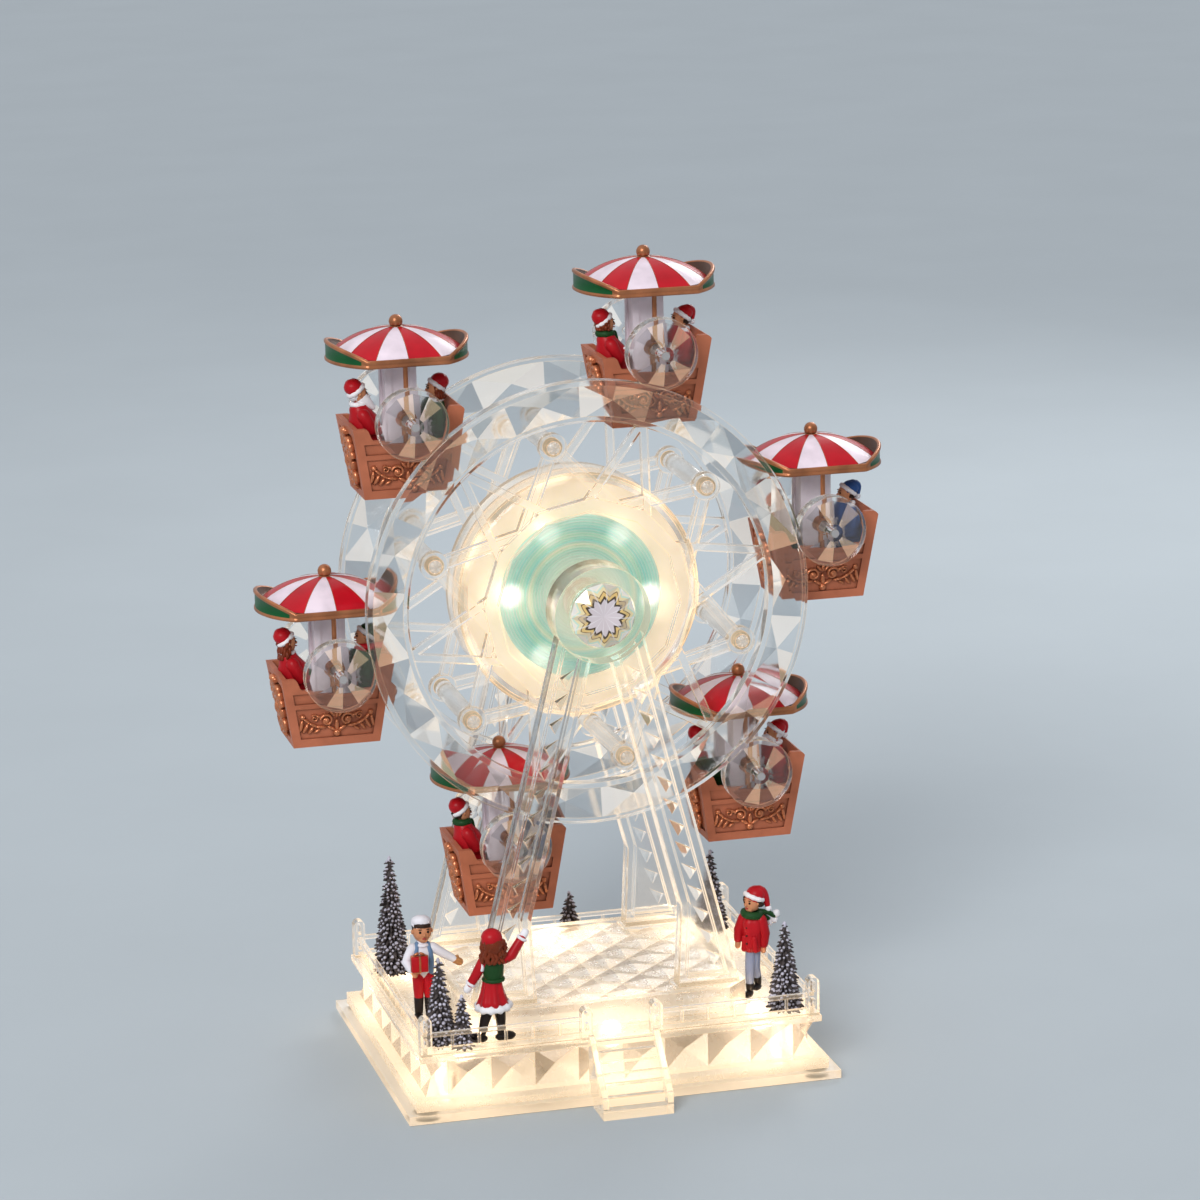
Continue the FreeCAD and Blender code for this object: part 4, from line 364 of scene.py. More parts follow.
def clear_plastic(name, glow, facets, milk=0.0, dark=0.55, painted_sparkle=0.26, edge=0.3,
                  shadow=(0.30, 0.34, 0.38)):
    """Clear moulded plastic with a painted glow, painted highlights on its facets and edges, and
    painted shade on facets that lean away.
    """
    plastic = Finish(name, (0.93, 0.95, 0.96), roughness=milk + 0.08, grain=260.0, mottle=0.02,
                     bump=0.03, IOR=1.49, Transmission_Weight=1.0)
    turned = facets(plastic)
    # Painted shade: facets that lean one way turn towards the shadow colour and lose glow.
    shaded = plastic.fade(turned, -0.1, -0.9, 0.0, 1.0)
    tint = plastic.mix(plastic.maths("MULTIPLY", shaded, dark), plastic.colour, shadow)
    # Painted highlight: sharp edges take the edge highlight colour and glow.
    edges = plastic.edges(0.35 * MM)
    plastic.paint(plastic.mix(plastic.maths("MULTIPLY", edges, 0.75), tint, EDGE_HIGHLIGHT))
    # Painted highlight on facets that lean the other way.
    lit = plastic.fade(turned, 0.1, 0.9, 0.0, painted_sparkle)
    rim = plastic.maths("MULTIPLY", edges, edge)
    dimmed = plastic.maths("SUBTRACT", 1.0, plastic.maths("MULTIPLY", shaded, dark))
    # Painted glow of the plastic, dimmed on the shaded facets.
    inner = plastic.maths("MULTIPLY", glow(plastic), dimmed)
    plastic.glow(settings().light.warm, plastic.maths("ADD", inner, plastic.maths("ADD", lit, rim)))
    FINISHES[name] = plastic


def drum_painted_glow(plastic):
    """Painted glow: brightest over the drum's lamps and in the hub, and fading towards the rim."""
    strength = settings().light.drum
    wide = plastic.maths("MULTIPLY",
                         plastic.fade(plastic.radius(), 45 * MM, 90 * MM, strength, 0.012),
                         plastic.fade(plastic.radius(), 26 * MM, 36 * MM, 0.35, 1.0))
    hub = plastic.fade(plastic.radius(), 13 * MM, 21 * MM, strength * 0.5, 0.0)
    return plastic.maths("ADD", plastic.maths("ADD", wide, hub),
                         plastic.painted_lamp_spots(2 * MM, 12 * MM, strength * 2))


def stand_painted_glow(plastic):
    """Painted glow, brightest near the deck below and round the hub above."""
    light = settings().light
    foot = plastic.fade(plastic.axis("Z"), 22 * MM, 95 * MM, light.deck * 0.7, 0.02)
    hub = plastic.fade(plastic.radius(), 13 * MM, 24 * MM, light.drum * 0.6, 0.0)
    return plastic.maths("ADD", foot, hub)


def base_painted_glow(plastic):
    """Painted glow, brightest round each lamp under the deck."""
    lamps = [(low + high) / 2 for low, high in shells_of("deck_lights")]
    strength = settings().light.deck
    plain = plastic.fade(plastic.axis("Z"), 8 * MM, 24 * MM, strength, strength * 0.55)
    return plastic.maths("ADD", plain, plastic.painted_halos(lamps, 6 * MM, 38 * MM, strength * 1.4))


def make_finishes():
    """All finishes, named for what they cover."""
    canopy, light = settings().canopy, settings().light
    paints = (                  # name, colour, roughness, metal
        ("red_enamel", canopy.red, 0.3, 0.0),
        ("white_enamel", canopy.white, 0.35, 0.0),
        ("green_enamel", canopy.green, 0.35, 0.0),
        ("tub_resin", (0.46, 0.145, 0.075), 0.45, 0.0),
        ("column_white", (0.80, 0.72, 0.78), 0.4, 0.0),
        ("fur_white", (0.80, 0.78, 0.80), 0.8, 0.0),
        ("coat_red", (0.42, 0.008, 0.014), 0.32, 0.0),
        ("coat_green", (0.012, 0.055, 0.014), 0.5, 0.0),
        ("coat_blue", (0.03, 0.09, 0.28), 0.45, 0.0),
        ("vest_slate", (0.13, 0.22, 0.36), 0.5, 0.0),
        ("jeans_grey", (0.24, 0.27, 0.38), 0.6, 0.0),
        ("shirt_white", (0.74, 0.72, 0.76), 0.6, 0.0),
        ("skin", (0.56, 0.24, 0.12), 0.5, 0.0),
        ("hair_dark", (0.035, 0.018, 0.012), 0.45, 0.0),
        ("hair_auburn", (0.17, 0.030, 0.011), 0.26, 0.0),
        ("boot_black", (0.018, 0.013, 0.012), 0.35, 0.0),
        ("glove_tan", (0.42, 0.19, 0.07), 0.5, 0.0),
        ("eye_dark", (0.01, 0.008, 0.008), 0.2, 0.0),
        ("lip_rose", (0.42, 0.05, 0.05), 0.4, 0.0),
        ("needle_green", (0.078, 0.064, 0.062), 0.7, 0.0),
        ("snow", (0.50, 0.48, 0.56), 0.75, 0.0),
        ("speaker_black", (0.012, 0.012, 0.014), 0.6, 0.0),
        ("cell_jacket", (0.02, 0.02, 0.024), 0.3, 0.0),
        ("board_white", (0.62, 0.56, 0.46), 0.35, 0.0),
        ("gold_paint", canopy.gold, 0.34, 0.6),
        # painted shade: a darker copy of the gold paint for the gutter where a canopy's band meets
        # its dome
        ("gold_in_painted_shade", (0.085, 0.035, 0.018), 0.4, 0.5),
        ("copper_rub", (0.58, 0.20, 0.09), 0.27, 0.6),
        ("motor_steel", (0.55, 0.56, 0.58), 0.3, 1.0),
        ("shaft_steel", (0.66, 0.66, 0.68), 0.2, 1.0),
        ("screw_steel", (0.60, 0.60, 0.62), 0.35, 1.0),
        ("contact_metal", (0.70, 0.69, 0.66), 0.25, 1.0),
    )
    uneven = {"snow": 0.35, "needle_green": 0.4, "gold_paint": 0.28, "gold_in_painted_shade": 0.3}
    for name, colour, roughness, metallic in paints:
        FINISHES[name] = Finish(name, tuple(colour), roughness, metallic,
                                mottle=uneven.get(name, 0.12),
                                Specular_IOR_Level=0.5 if metallic else 0.16)
    # Painted shade in the corners of the tubs and of the gold paint.
    FINISHES["tub_resin"].painted_corner_shade((0.12, 0.035, 0.016), 2.2 * MM)
    FINISHES["gold_paint"].painted_corner_shade((0.10, 0.035, 0.015), 1.2 * MM)
    for name in ("red_enamel", "white_enamel", "green_enamel"):
        FINISHES[name].shader.inputs["Coat Weight"].default_value = 0.12
    # Clear plastic finishes, each with a painted glow, painted highlights and painted facet shade.
    clear_plastic("clear_wheel", drum_painted_glow, Finish.wheel_facet_painted_light)
    clear_plastic("clear_stand", stand_painted_glow, Finish.wall_facet_painted_light)
    clear_plastic("pale_struts", drum_painted_glow, Finish.wheel_facet_painted_light, milk=0.12, dark=0.0, painted_sparkle=0.1)
    # Colour of the painted shade on the base's facets.
    base_shade_colour = (0.50, 0.34, 0.22)
    clear_plastic("lit_base", base_painted_glow, Finish.wall_facet_painted_light, milk=0.18, dark=0.6, painted_sparkle=0.25,
                  shadow=base_shade_colour)
    clear_plastic("milky_base", base_painted_glow, Finish.wall_facet_painted_light, milk=0.3, painted_sparkle=0.1, shadow=base_shade_colour)
    show_pins(FINISHES["gold_paint"])
    make_shimmer()
    make_crystal()
    make_lamp(light)


def show_pins(gold):
    """The rods' pins stay bare where they end in the medallions."""
    pivot = (pivot_of(1) - AXLE).xz
    away = gold.from_ring(len(GONDOLAS), pivot.length, math.atan2(pivot.y, pivot.x))
    gold.paint(gold.mix(gold.fade(away, 1.6 * MM, 1.8 * MM, 1.0, 0.0), gold.colour, BARE_PIN))


def make_shimmer():
    """Iridescent disc with fine turned grooves, with painted light and a painted glow over the
    lamps behind it.
    """
    disc = Finish("shimmer", (0.35, 0.75, 0.68), roughness=0.28, metallic=0.2, bump=0.03)
    radius = disc.radius()
    hue = disc.node("ValToRGB", {"Fac": disc.fade(radius, 12 * MM, 33 * MM, 0.0, 1.0)})
    ramp_stops(hue, (0.0, (0.66, 0.88, 0.70)), (1.0, (0.42, 0.82, 0.66)),
               (0.2, (0.38, 0.80, 0.64)), (0.38, (0.78, 0.90, 0.62)), (0.48, (0.28, 0.78, 0.64)),
               (0.72, (0.46, 0.84, 0.60)), (0.88, (0.24, 0.74, 0.62)))
    waves = disc.maths("MULTIPLY", radius, 2 * math.pi / (1.15 * MM))
    rings = disc.maths("SINE", waves)
    disc.tree.links.new(rings, disc.bump.inputs["Height"])
    disc.bump.inputs["Strength"].default_value = 0.35
    line = disc.fade(rings, 0.55, 0.95, 0.0, 0.5)
    grooved = disc.mix(line, hue.outputs["Color"], (0.93, 0.90, 0.80))
    # Painted light over each lamp behind the disc, in its colour and as glow; the whole disc has a
    # faint painted glow too.
    spot = disc.painted_lamp_spots(1.0 * MM, 7.5 * MM, 1.0)
    disc.paint(disc.mix(spot, grooved, (1.0, 0.96, 0.86)))
    disc.link("Emission Color", disc.colour)
    disc.link("Emission Strength", disc.maths("ADD", disc.maths("MULTIPLY", spot, 0.8), 0.2))
    FINISHES["shimmer"] = disc


def make_crystal():
    """Foil backed cut cap: a pale star with dark and gold facets round it."""
    cap = Finish("cut_crystal", (0.74, 0.68, 0.72), roughness=0.1, metallic=0.25, mottle=0.05)
    points = cap.maths("MULTIPLY", cap.around(12), -2.3 * MM)
    waves = cap.maths("MULTIPLY", cap.around(5, 0.4), 0.9 * MM)
    star = cap.maths("ADD", points, cap.maths("ADD", waves, 6.9 * MM))
    beyond = cap.maths("SUBTRACT", cap.radius(), star)
    ramp = cap.node("ValToRGB", {"Fac": cap.node("MapRange", {
        "Value": beyond, "From Min": -MM, "From Max": 6.5 * MM}).outputs["Result"]})
    ramp.color_ramp.interpolation = "CONSTANT"
    ramp_stops(ramp, (0.0, (0.70, 0.62, 0.66)), (0.98, (0.84, 0.82, 0.78)),
               (0.17, (0.03, 0.02, 0.015)), (0.33, (0.80, 0.55, 0.20)), (0.52, (0.12, 0.06, 0.03)),
               (0.58, (0.88, 0.74, 0.42)), (0.78, (0.58, 0.80, 0.68)), (0.88, (0.92, 0.85, 0.70)))
    streak = cap.fade(cap.around(12, 0.13), 0.82, 0.95, 0.0, 0.55)
    shown = cap.mix(streak, ramp.outputs["Color"], (0.93, 0.91, 0.93))
    # Painted shade on the facets that lean one way.
    painted_facet_shade = cap.fade(cap.wheel_facet_painted_light(), -0.1, -0.9, 0.0, 0.6)
    cut = cap.mix(painted_facet_shade, shown, (0.50, 0.42, 0.34))
    # Faint painted glow of the cap.
    cap.glow(settings().light.warm, 0.06)
    cap.paint(cut)
    FINISHES["cut_crystal"] = cap


def make_lamp(light):
    """White lamp board whose lamps shine."""
    lamp = Finish("drum_lamps", (0.9, 0.80, 0.68), roughness=0.4)
    shine = lamp.fade(lamp.axis("Y"), AXLE.y - 2.6 * MM, AXLE.y - 1.7 * MM, light.lamp, 0.4)
    FINISHES["drum_lamps"] = lamp.glow(light.warm, shine)
    FINISHES["deck_lamps"] = Finish("deck_lamps", (0.9, 0.86, 0.78)).glow(light.warm, light.lamp)


CAD_FINISHES = {
    "clear_wheel": ("front_side_frame", "rear_side_frame", "drum_front_shell",
                    "drum_rear_shell", "axle_stub"),
    "pale_struts": ("cross_struts",),
    "cut_crystal": ("boss_caps",),
    "clear_stand": ("front_a_frame", "rear_a_frame", "balustrade", "front_stairs"),
    "lit_base": ("plinth_shell", "quilted_platform"),
    "milky_base": ("base_plate", "battery_door"),
    "shimmer": ("shimmer_disc",),
    "drum_lamps": ("drum_light_board",),
    "deck_lamps": ("deck_lights",),
    "motor_steel": ("gearmotor",),
    "shaft_steel": ("drive_shaft",),
    "screw_steel": ("case_screws",),
    "contact_metal": ("battery_contacts",),
    "cell_jacket": ("battery_cells",),
    "board_white": ("sound_board",),
    "speaker_black": ("speaker", "switch_slide"),
    "tub_resin": tuple("gondola_%d_tub" % k for k in GONDOLAS),
    "column_white": tuple("gondola_%d_column" % k for k in GONDOLAS),
    "gold_paint": tuple("gondola_%d_hangers" % k for k in GONDOLAS),
}


# Modelling


def frame_along(axis):
    """An axis with two more at right angles to it."""
    along = Vector(axis).normalized()
    side = along.orthogonal().normalized()
    return along, side, along.cross(side)


def head_frame(centre, forward):
    """Middle of a head with the ways it looks, up and to its side."""
    forward, up = Vector(forward).normalized(), Vector((0, 0, 1))
    return Vector(centre), forward, up, forward.cross(up).normalized()


DOME = (0.45, 0.8, 0.98)        # shares of the radius at which a limb's end is rounded off


class Model:
    """Gathers shaped lumps, each in its own finish, into one mesh in millimetres."""

    def __init__(self, place=None):
        self.mesh = bmesh.new()
        self.finishes = []
        self.place = place or Matrix.Identity(4)

    def number(self, name):
        if name not in self.finishes:
            self.finishes.append(name)
        return self.finishes.index(name)

    def skin(self, finish_name, rings, capped=True, round_way=True):
        """Join rings of points with quads; the ends are closed when capped."""
        number = self.number(finish_name)
        rows = [[self.mesh.verts.new(self.place @ Vector(p)) for p in ring] for ring in rings]
        total = len(rows[0])
        for low, high in zip(rows, rows[1:]):
            for i in range(total if round_way else total - 1):
                j = (i + 1) % total
                self.face((low[i], low[j], high[j], high[i]), number)
        if capped:
            self.face(tuple(reversed(rows[0])), number)
            self.face(tuple(rows[-1]), number)

    def face(self, corners, number):
        face = self.mesh.faces.new(dict.fromkeys(corners))
        face.material_index = number
        face.smooth = True
        return face

    def sweep(self, finish_name, stations, sides=12, flat=1.0):
        """Rounded limb through stations (point, radius); its ends are domed."""
        points = [Vector(point) for point, radius in stations]
        radii = [radius for point, radius in stations]
        starts = (points[0] - points[1]).normalized()
        ends = (points[-1] - points[-2]).normalized()
        path = [(points[0] + starts * radii[0] * share, radii[0] * math.sqrt(1 - share ** 2))
                for share in reversed(DOME)]
        path += zip(points, radii)
        path += [(points[-1] + ends * radii[-1] * share, radii[-1] * math.sqrt(1 - share ** 2))
                 for share in DOME]
        rings = []
        side = None
        for n, (point, radius) in enumerate(path):
            after = path[min(n + 1, len(path) - 1)][0]
            before = path[max(n - 1, 0)][0]
            along = (after - before).normalized()
            guess = side or Vector((1, 0, 0))
            if abs(along.dot(guess)) > 0.9:
                guess = Vector((0, 1, 0))
            side = (guess - along * guess.dot(along)).normalized()
            up = along.cross(side)
            rings.append([point + (side * math.cos(a) + up * math.sin(a) * flat) * radius
                          for a in circle(sides)])
        self.skin(finish_name, rings)

    def lump(self, finish_name, centre, size, turn=(0, 0, 0), rough=0.0, sides=16):
        """Ellipsoid with half sizes, turned in degrees and roughened."""
        spin = Matrix.Rotation(math.radians(turn[2]), 3, "Z") @ \
            Matrix.Rotation(math.radians(turn[1]), 3, "Y") @ \
            Matrix.Rotation(math.radians(turn[0]), 3, "X")
        rings = []
        rows = sides // 2
        for row in range(1, rows):
            tilt = math.pi * row / rows
            ring = []
            for a in circle(sides):
                out = Vector((math.sin(tilt) * math.cos(a), math.sin(tilt) * math.sin(a),
                              -math.cos(tilt)))
                swell = 1.0 + rough * noise.noise(out * 2.6 + Vector(centre))
                ring.append(Vector(centre) + spin @ Vector(
                    (out.x * size[0], out.y * size[1], out.z * size[2])) * swell)
            rings.append(ring)
        self.skin(finish_name, rings)

    def turned(self, finish_name, base, along, profile, sides=20, pleats=0, depth=0.0):
        """Turned form from (height, radius) pairs, with pleats that grow to its foot."""
        along, side, up = frame_along(along)
        rings = []
        for height, radius in profile:
            ring = []
            for a in circle(sides):
                wide = radius * (1.0 + depth * math.cos(pleats * a))
                ring.append(Vector(base) + along * height
                            + (side * math.cos(a) + up * math.sin(a)) * wide)
            rings.append(ring)
        self.skin(finish_name, rings)

    def ruff(self, finish_name, centre, along, radius, thick, lumps=9, rough=0.25):
        """Ring of fur."""
        along, side, up = frame_along(along)
        rows = []
        for a in circle(lumps * 3):
            out = side * math.cos(a) + up * math.sin(a)
            swell = thick * (1.0 + rough * math.cos(lumps * a))
            rows.append([Vector(centre) + out * (radius + swell * math.cos(b))
                         + along * swell * math.sin(b) for b in circle(8)])
        number = self.number(finish_name)
        rings = [[self.mesh.verts.new(self.place @ p) for p in row] for row in rows]
        for n, ring in enumerate(rings):
            following = rings[(n + 1) % len(rings)]
            for i in range(8):
                j = (i + 1) % 8
                self.face((ring[i], ring[j], following[j], following[i]), number)

    def slab(self, finish_name, low, high, round_off=0.3):
        """Box with eased edges."""
        number = self.number(finish_name)
        before = set(self.mesh.faces)
        size = Vector(high) - Vector(low)
        middle = (Vector(high) + Vector(low)) / 2
        scale = Matrix.Diagonal((*size, 1.0))
        made = bmesh.ops.create_cube(self.mesh, size=1.0,
                                     matrix=self.place @ Matrix.Translation(middle) @ scale)
        edges = dict.fromkeys(edge for vert in made["verts"] for edge in vert.link_edges)
        bmesh.ops.bevel(self.mesh, geom=list(edges), offset=round_off, segments=2,
                        affect="EDGES", profile=0.5)
        for face in set(self.mesh.faces) - before:
            face.material_index = number
            face.smooth = True

    def done(self, name, body, slot, replaced=(), origin=Vector()):
        """Turn the gathered lumps into a piece that rides on a body."""
        bmesh.ops.recalc_face_normals(self.mesh, faces=self.mesh.faces)
        self.mesh.transform(Matrix.Translation(origin) @ Matrix.Scale(MM, 4))
        mesh = bpy.data.meshes.new(name)
        self.mesh.to_mesh(mesh)
        self.mesh.free()
        for finish_name in self.finishes:
            mesh.materials.append(finish(finish_name))
        return seat(name, mesh, body, replaced)


def circle(sides):
    return [2 * math.pi * i / sides for i in range(sides)]


def seat(name, mesh, body, replaced=()):
    """Link a finished mesh, make it ride and hide the CAD parts it replaces."""
    piece = bpy.data.objects.new(name, mesh)
    bpy.context.scene.collection.objects.link(piece)
    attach(piece, body)
    if replaced:
        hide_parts(*replaced)
    return piece


# Canopies


def canopy_model(k):
    """Gored dome inside a gold band whose ends turn up over green walls."""
    paint = settings().canopy
    low, high = local_box(k, "canopy")
    radius, half = high.x, high.y
    bottom, ball_top = low.z, high.z
    band, lip, crown = bottom + 3.4, bottom + 8.5, ball_top - 4.6
    corner = math.sqrt(radius ** 2 - half ** 2)
    base, base_half = radius - paint.inset, half - 0.7
    sphere = (base ** 2 + (crown - band) ** 2) / (2 * (crown - band))
    model = Model()

    def reach(angle, wide, deep):
        return min(wide, deep / max(1e-6, abs(math.sin(angle))))

    def on(angle, distance, z):
        return (math.cos(angle) * distance, math.sin(angle) * distance, z)

    def dome_height(share):
        return crown - sphere + math.sqrt(sphere ** 2 - (base * share) ** 2)

    step = 2 * math.pi / paint.gores
    turn = -math.pi / 2 - step / 2
    splits, steps = 8, 12       # facets across a gore and up it
    for gore in range(paint.gores):
        name = "white_enamel" if gore % 2 == 0 else "red_enamel"
        fan = [turn + step * (gore - 0.5 + i / splits) for i in range(splits + 1)]
        rings = []
        for n in range(steps + 1):
            share = max(0.02, n / steps)
            rings.append([on(a, reach(a, base, base_half) * share, dome_height(share))
                          for a in fan])
        model.skin(name, rings, capped=False, round_way=False)
        edge = fan[0]
        stations = []
        for n in range(steps + 1):
            share = 0.06 + 0.94 * n / steps
            stations.append((on(edge, reach(edge, base, base_half) * share,
                                dome_height(share) + 0.02), paint.seam))
        model.sweep("gold_paint", stations, sides=6)

    corners = [(back + side * math.atan2(half, corner)) % (2 * math.pi)
               for back in (0, math.pi) for side in (-1, 1)]
    turns = sorted({round(a, 5) for a in circle(96) + corners})
    rails = []
    for angle in turns:
        rim = reach(angle, radius, half)
        gap = rim - reach(angle, base, base_half)
        x = abs(math.cos(angle) * rim)
        rise = max(0.0, (x - corner) / (radius - corner))
        top = band + (lip - band) * rise ** 0.85
        rails.append([on(angle, rim - d, z) for d, z in (
            (0.9, bottom), (0.15, bottom + 0.4), (0.15, bottom + 1.0), (0.6, bottom + 1.5),
            (0.6, top - 1.7), (0.15, top - 1.2), (0.15, top - 0.4), (min(0.6, gap * 0.4), top),
            (min(1.2, gap * 0.6), top), (min(1.7, gap * 0.8), max(band - 0.4, top - 0.5)),
            (min(1.9, gap * 0.9), band), (gap, band - 0.2))])
    names = ("gold_paint", "green_enamel", "gold_in_painted_shade")
    number = {name: model.number(name) for name in names}
    rows = [[model.mesh.verts.new(Vector(p)) for p in rail] for rail in rails]
    for n, row in enumerate(rows):
        following = rows[(n + 1) % len(rows)]
        middle = abs(row[4].co.z + following[4].co.z) / 2
        for i in range(len(row) - 1):
            # The gutter between band and dome takes the darker gold: painted shade.
            wall = i == 3 and middle > band - 0.3
            name = "green_enamel" if wall else "gold_in_painted_shade" if i > 8 else "gold_paint"
            model.face((row[i], following[i], following[i + 1], row[i + 1]), number[name])
    model.face([row[0] for row in rows], number["gold_paint"])
    model.turned("gold_paint", (0, 0, crown - 0.5), (0, 0, 1), (
        (0.0, 3.0), (0.5, 2.7), (0.8, 1.6), (1.2, 1.3), (1.5, 1.6)), sides=24)
    ball = (ball_top - crown + 0.9) / 2
    model.lump("gold_paint", (0, 0, ball_top - ball), (ball, ball, ball), sides=24)
    return model


class FERRIS_OT_canopies(bpy.types.Operator):
    """Replace each plain canopy with a painted, gored one"""
    bl_idname = "ferris.canopies"
    bl_label = "Make canopies"

    def execute(self, context):
        for k in GONDOLAS:
            canopy_model(k).done("painted_canopy_%d" % k, "gondola_%d" % k, "canopy_paint",
                                 ("gondola_%d_canopy" % k,), pivot_of(k))
        return {"FINISHED"}


# Figures


def face_parts(model, centre, size, forward, beard=False):
    """Head with plain doll's features in shares of its size, looking along forward."""
    centre, forward, up, side = head_frame(centre, forward)
    model.lump("skin", centre, (size * 0.9, size * 0.9, size * 1.04))
    model.lump("skin", centre + forward * size * 0.3 - up * size * 0.62,
               (size * 0.52, size * 0.52, size * 0.42), sides=12)
    model.lump("skin", centre + forward * size * 0.94 - up * size * 0.14,
               (size * 0.14, size * 0.14, size * 0.2), sides=8)
    for way in (-1, 1):
        spot = centre + side * way * size * 0.36 + forward * size * 0.77
        model.lump("eye_dark", spot + up * size * 0.12, (size * 0.13, size * 0.13, size * 0.15),
                   sides=8)
        model.lump("hair_dark", spot + up * size * 0.38, (size * 0.2, size * 0.1, size * 0.05),
                   sides=8)
        model.lump("skin", centre + side * way * size * 0.9, (size * 0.16, size * 0.2, size * 0.26),
                   sides=8)
    if beard:
        model.sweep("fur_white", ((centre + forward * size * 0.35 - up * size * 0.6, size * 0.8),
                                  (centre + forward * size * 0.9 - up * size * 1.15, size * 0.66),
                                  (centre + forward * size * 1.5 - up * size * 1.65, size * 0.34)),
                    sides=16)
        model.lump("fur_white", centre + forward * size * 0.93 - up * size * 0.36,
                   (size * 0.42, size * 0.26, size * 0.16), rough=0.2, sides=10)
    else:
        model.lump("lip_rose", centre + forward * size * 0.86 - up * size * 0.5,
                   (size * 0.22, size * 0.12, size * 0.07), sides=8)


def hair(model, centre, size, forward, finish_name, length):
    """Cap of hair behind the face and, where it is long, wavy locks down the back."""
    centre, forward, up, side = head_frame(centre, forward)
    model.lump(finish_name, centre - forward * size * 0.36 + up * size * 0.18,
               (size * 0.94, size * 0.94, size * 1.0), rough=0.2, sides=20)
    locks = 12 if length > 2 else 0
    waves = random.Random(round(abs(centre.x + centre.z) * 10))
    for n in range(locks):
        way = (n - (locks - 1) / 2) / (locks - 1) * 3.2
        out = side * math.sin(way) - forward * math.cos(way)
        phase = waves.uniform(0, 6.28)
        stations = []
        for step in range(9):
            share = step / 8
            sway = (side + out * 0.6) * math.cos(phase + 11.0 * share) * size * 0.13
            spot = centre + out * size * (0.82 + 0.24 * share) + sway
            stations.append((spot + up * (size * 0.35 - length * share),
                             size * (0.23 - 0.07 * share) * waves.uniform(0.75, 1.3)))
        model.sweep(finish_name, stations, sides=8)


def brimmed_cap(model, centre, size, axis, fall, colour="coat_red", trim="fur_white", bobble=True):
    """Soft cap with a fur brim; it rises along axis and its end hangs over along fall."""
    centre, axis, fall = Vector(centre), Vector(axis).normalized(), Vector(fall)
    brim = centre + axis * size * 0.45
    model.ruff(trim, brim, axis, size * 0.9, size * 0.26, rough=0.12)
    model.lump(colour, brim + axis * size * 0.35 + fall * size * 0.05,
               (size * 0.98, size * 0.98, size * 0.82), sides=18)
    peak, end = brim + axis * size * 1.5 + fall * size * 0.3, brim + fall * size * 1.25
    stations = []
    for n in range(9):
        share = n / 8
        spot = brim * (1 - share) ** 2 + peak * (2 * share * (1 - share)) + end * share ** 2
        stations.append((spot, size * (0.95 - 0.66 * share)))
    model.sweep(colour, stations, sides=18)
    if bobble:
        model.lump(trim, end + (end - peak).normalized() * size * 0.42, (size * 0.36,) * 3,
                   rough=0.15, sides=12)


def round_cap(model, centre, size, axis, colour="coat_red", trim="fur_white"):
    """Full round cap over a thick fur brim."""
    centre, axis = Vector(centre), Vector(axis).normalized()
    model.ruff(trim, centre + axis * size * 0.4, axis, size * 0.9, size * 0.28, rough=0.1)
    model.lump(colour, centre + axis * size * 0.9, (size * 1.04, size * 1.04, size * 0.96),
               rough=0.06, sides=20)


def beret(model, centre, size, colour, axis):
    """Full round knitted cap with a rolled edge."""
    centre, axis = Vector(centre), Vector(axis).normalized()
    model.lump(colour, centre + axis * size * 0.45, (size * 1.22, size * 1.18, size * 1.12),
               rough=0.08, sides=22)
    model.ruff(colour, centre + axis * size * 0.05, axis, size * 1.0, size * 0.17, rough=0.05)


def rider_model(model, side, look):
    """Seated passenger; side is -1 on the left bench and 1 on the right one."""
    bench = -14.5
    lean = 1.2 if side < 0 else 0.2
    inward, up = Vector((-side, 0, 0)), Vector((0, 0, 1))
    hips, neck = Vector((side * 12.4, 0, bench + 3.2)), Vector((side * (15.0 + lean), 0, 4.2))
    coat, cuff = look["coat"], look.get("cuff", "fur_white")
    model.sweep(coat, ((hips, 5.0), (Vector((side * 13.0, 0, -7.0)), 6.1),
                       (Vector((side * (13.8 + lean * 0.6), 0, -1.8)), 6.0),
                       (neck - up * 2.2 + inward * 0.5, 4.0)), sides=22, flat=1.06)
    for way in (-1, 1):
        out = Vector((0, way, 0))
        knee = Vector((side * 8.8, way * 2.6, bench + 2.5))
        model.sweep(look.get("legs", coat), ((hips + out * 2.2, 2.2), (knee, 1.9),
                                             (knee + inward * 0.6 - up * 0.7, 1.5)))
        shoulder = Vector((side * (13.8 + lean), way * 4.6, 0.8))
        elbow = Vector((side * (11.6 + lean * 0.5), way * 6.4, -5.0))
        hand = Vector((side * 8.9, way * 3.2, -5.6 + look.get("hands", 0.0)))
        model.sweep(coat, ((shoulder, 2.7), (elbow, 2.6), (hand, 1.9)), sides=14)
        model.ruff(cuff, hand + inward * 0.3, hand - elbow, 1.5, 0.75, lumps=6, rough=0.1)
        model.lump(look.get("glove", "fur_white"), hand + inward * 1.7, (1.5, 1.25, 1.4), sides=12)
    if look.get("scarf"):
        model.ruff(look["scarf"], neck + up * 0.7, up, 2.7, 1.4, lumps=5, rough=0.08)
        model.sweep(look["scarf"], ((neck + inward * 3.6 + up * 0.4, 1.3),
                                    (neck + inward * 5.0 - up * 4.8, 1.1)), flat=0.5)
    else:
        model.ruff("fur_white", neck + up * 0.5, up, 2.5, 1.0, lumps=7, rough=0.12)
    head, size = neck + up * 4.8 + inward * 0.4, 3.6
    face_parts(model, head, size, inward, beard=look.get("beard", False))
    hair(model, head, size, inward, look.get("hair", "hair_dark"), look.get("length", 1.2))
    if look.get("muff"):
        model.lump(look["muff"], (side * 8.2, 0, -4.4), (2.1, 4.4, 2.2), rough=0.08)
    tilt = up * 0.78 - inward * 0.62
    if look.get("hat") == "tail":
        brimmed_cap(model, head, size, tilt, -inward * 0.9 - up * 0.3, look["cap"])
    else:
        round_cap(model, head, size, tilt, look["cap"])


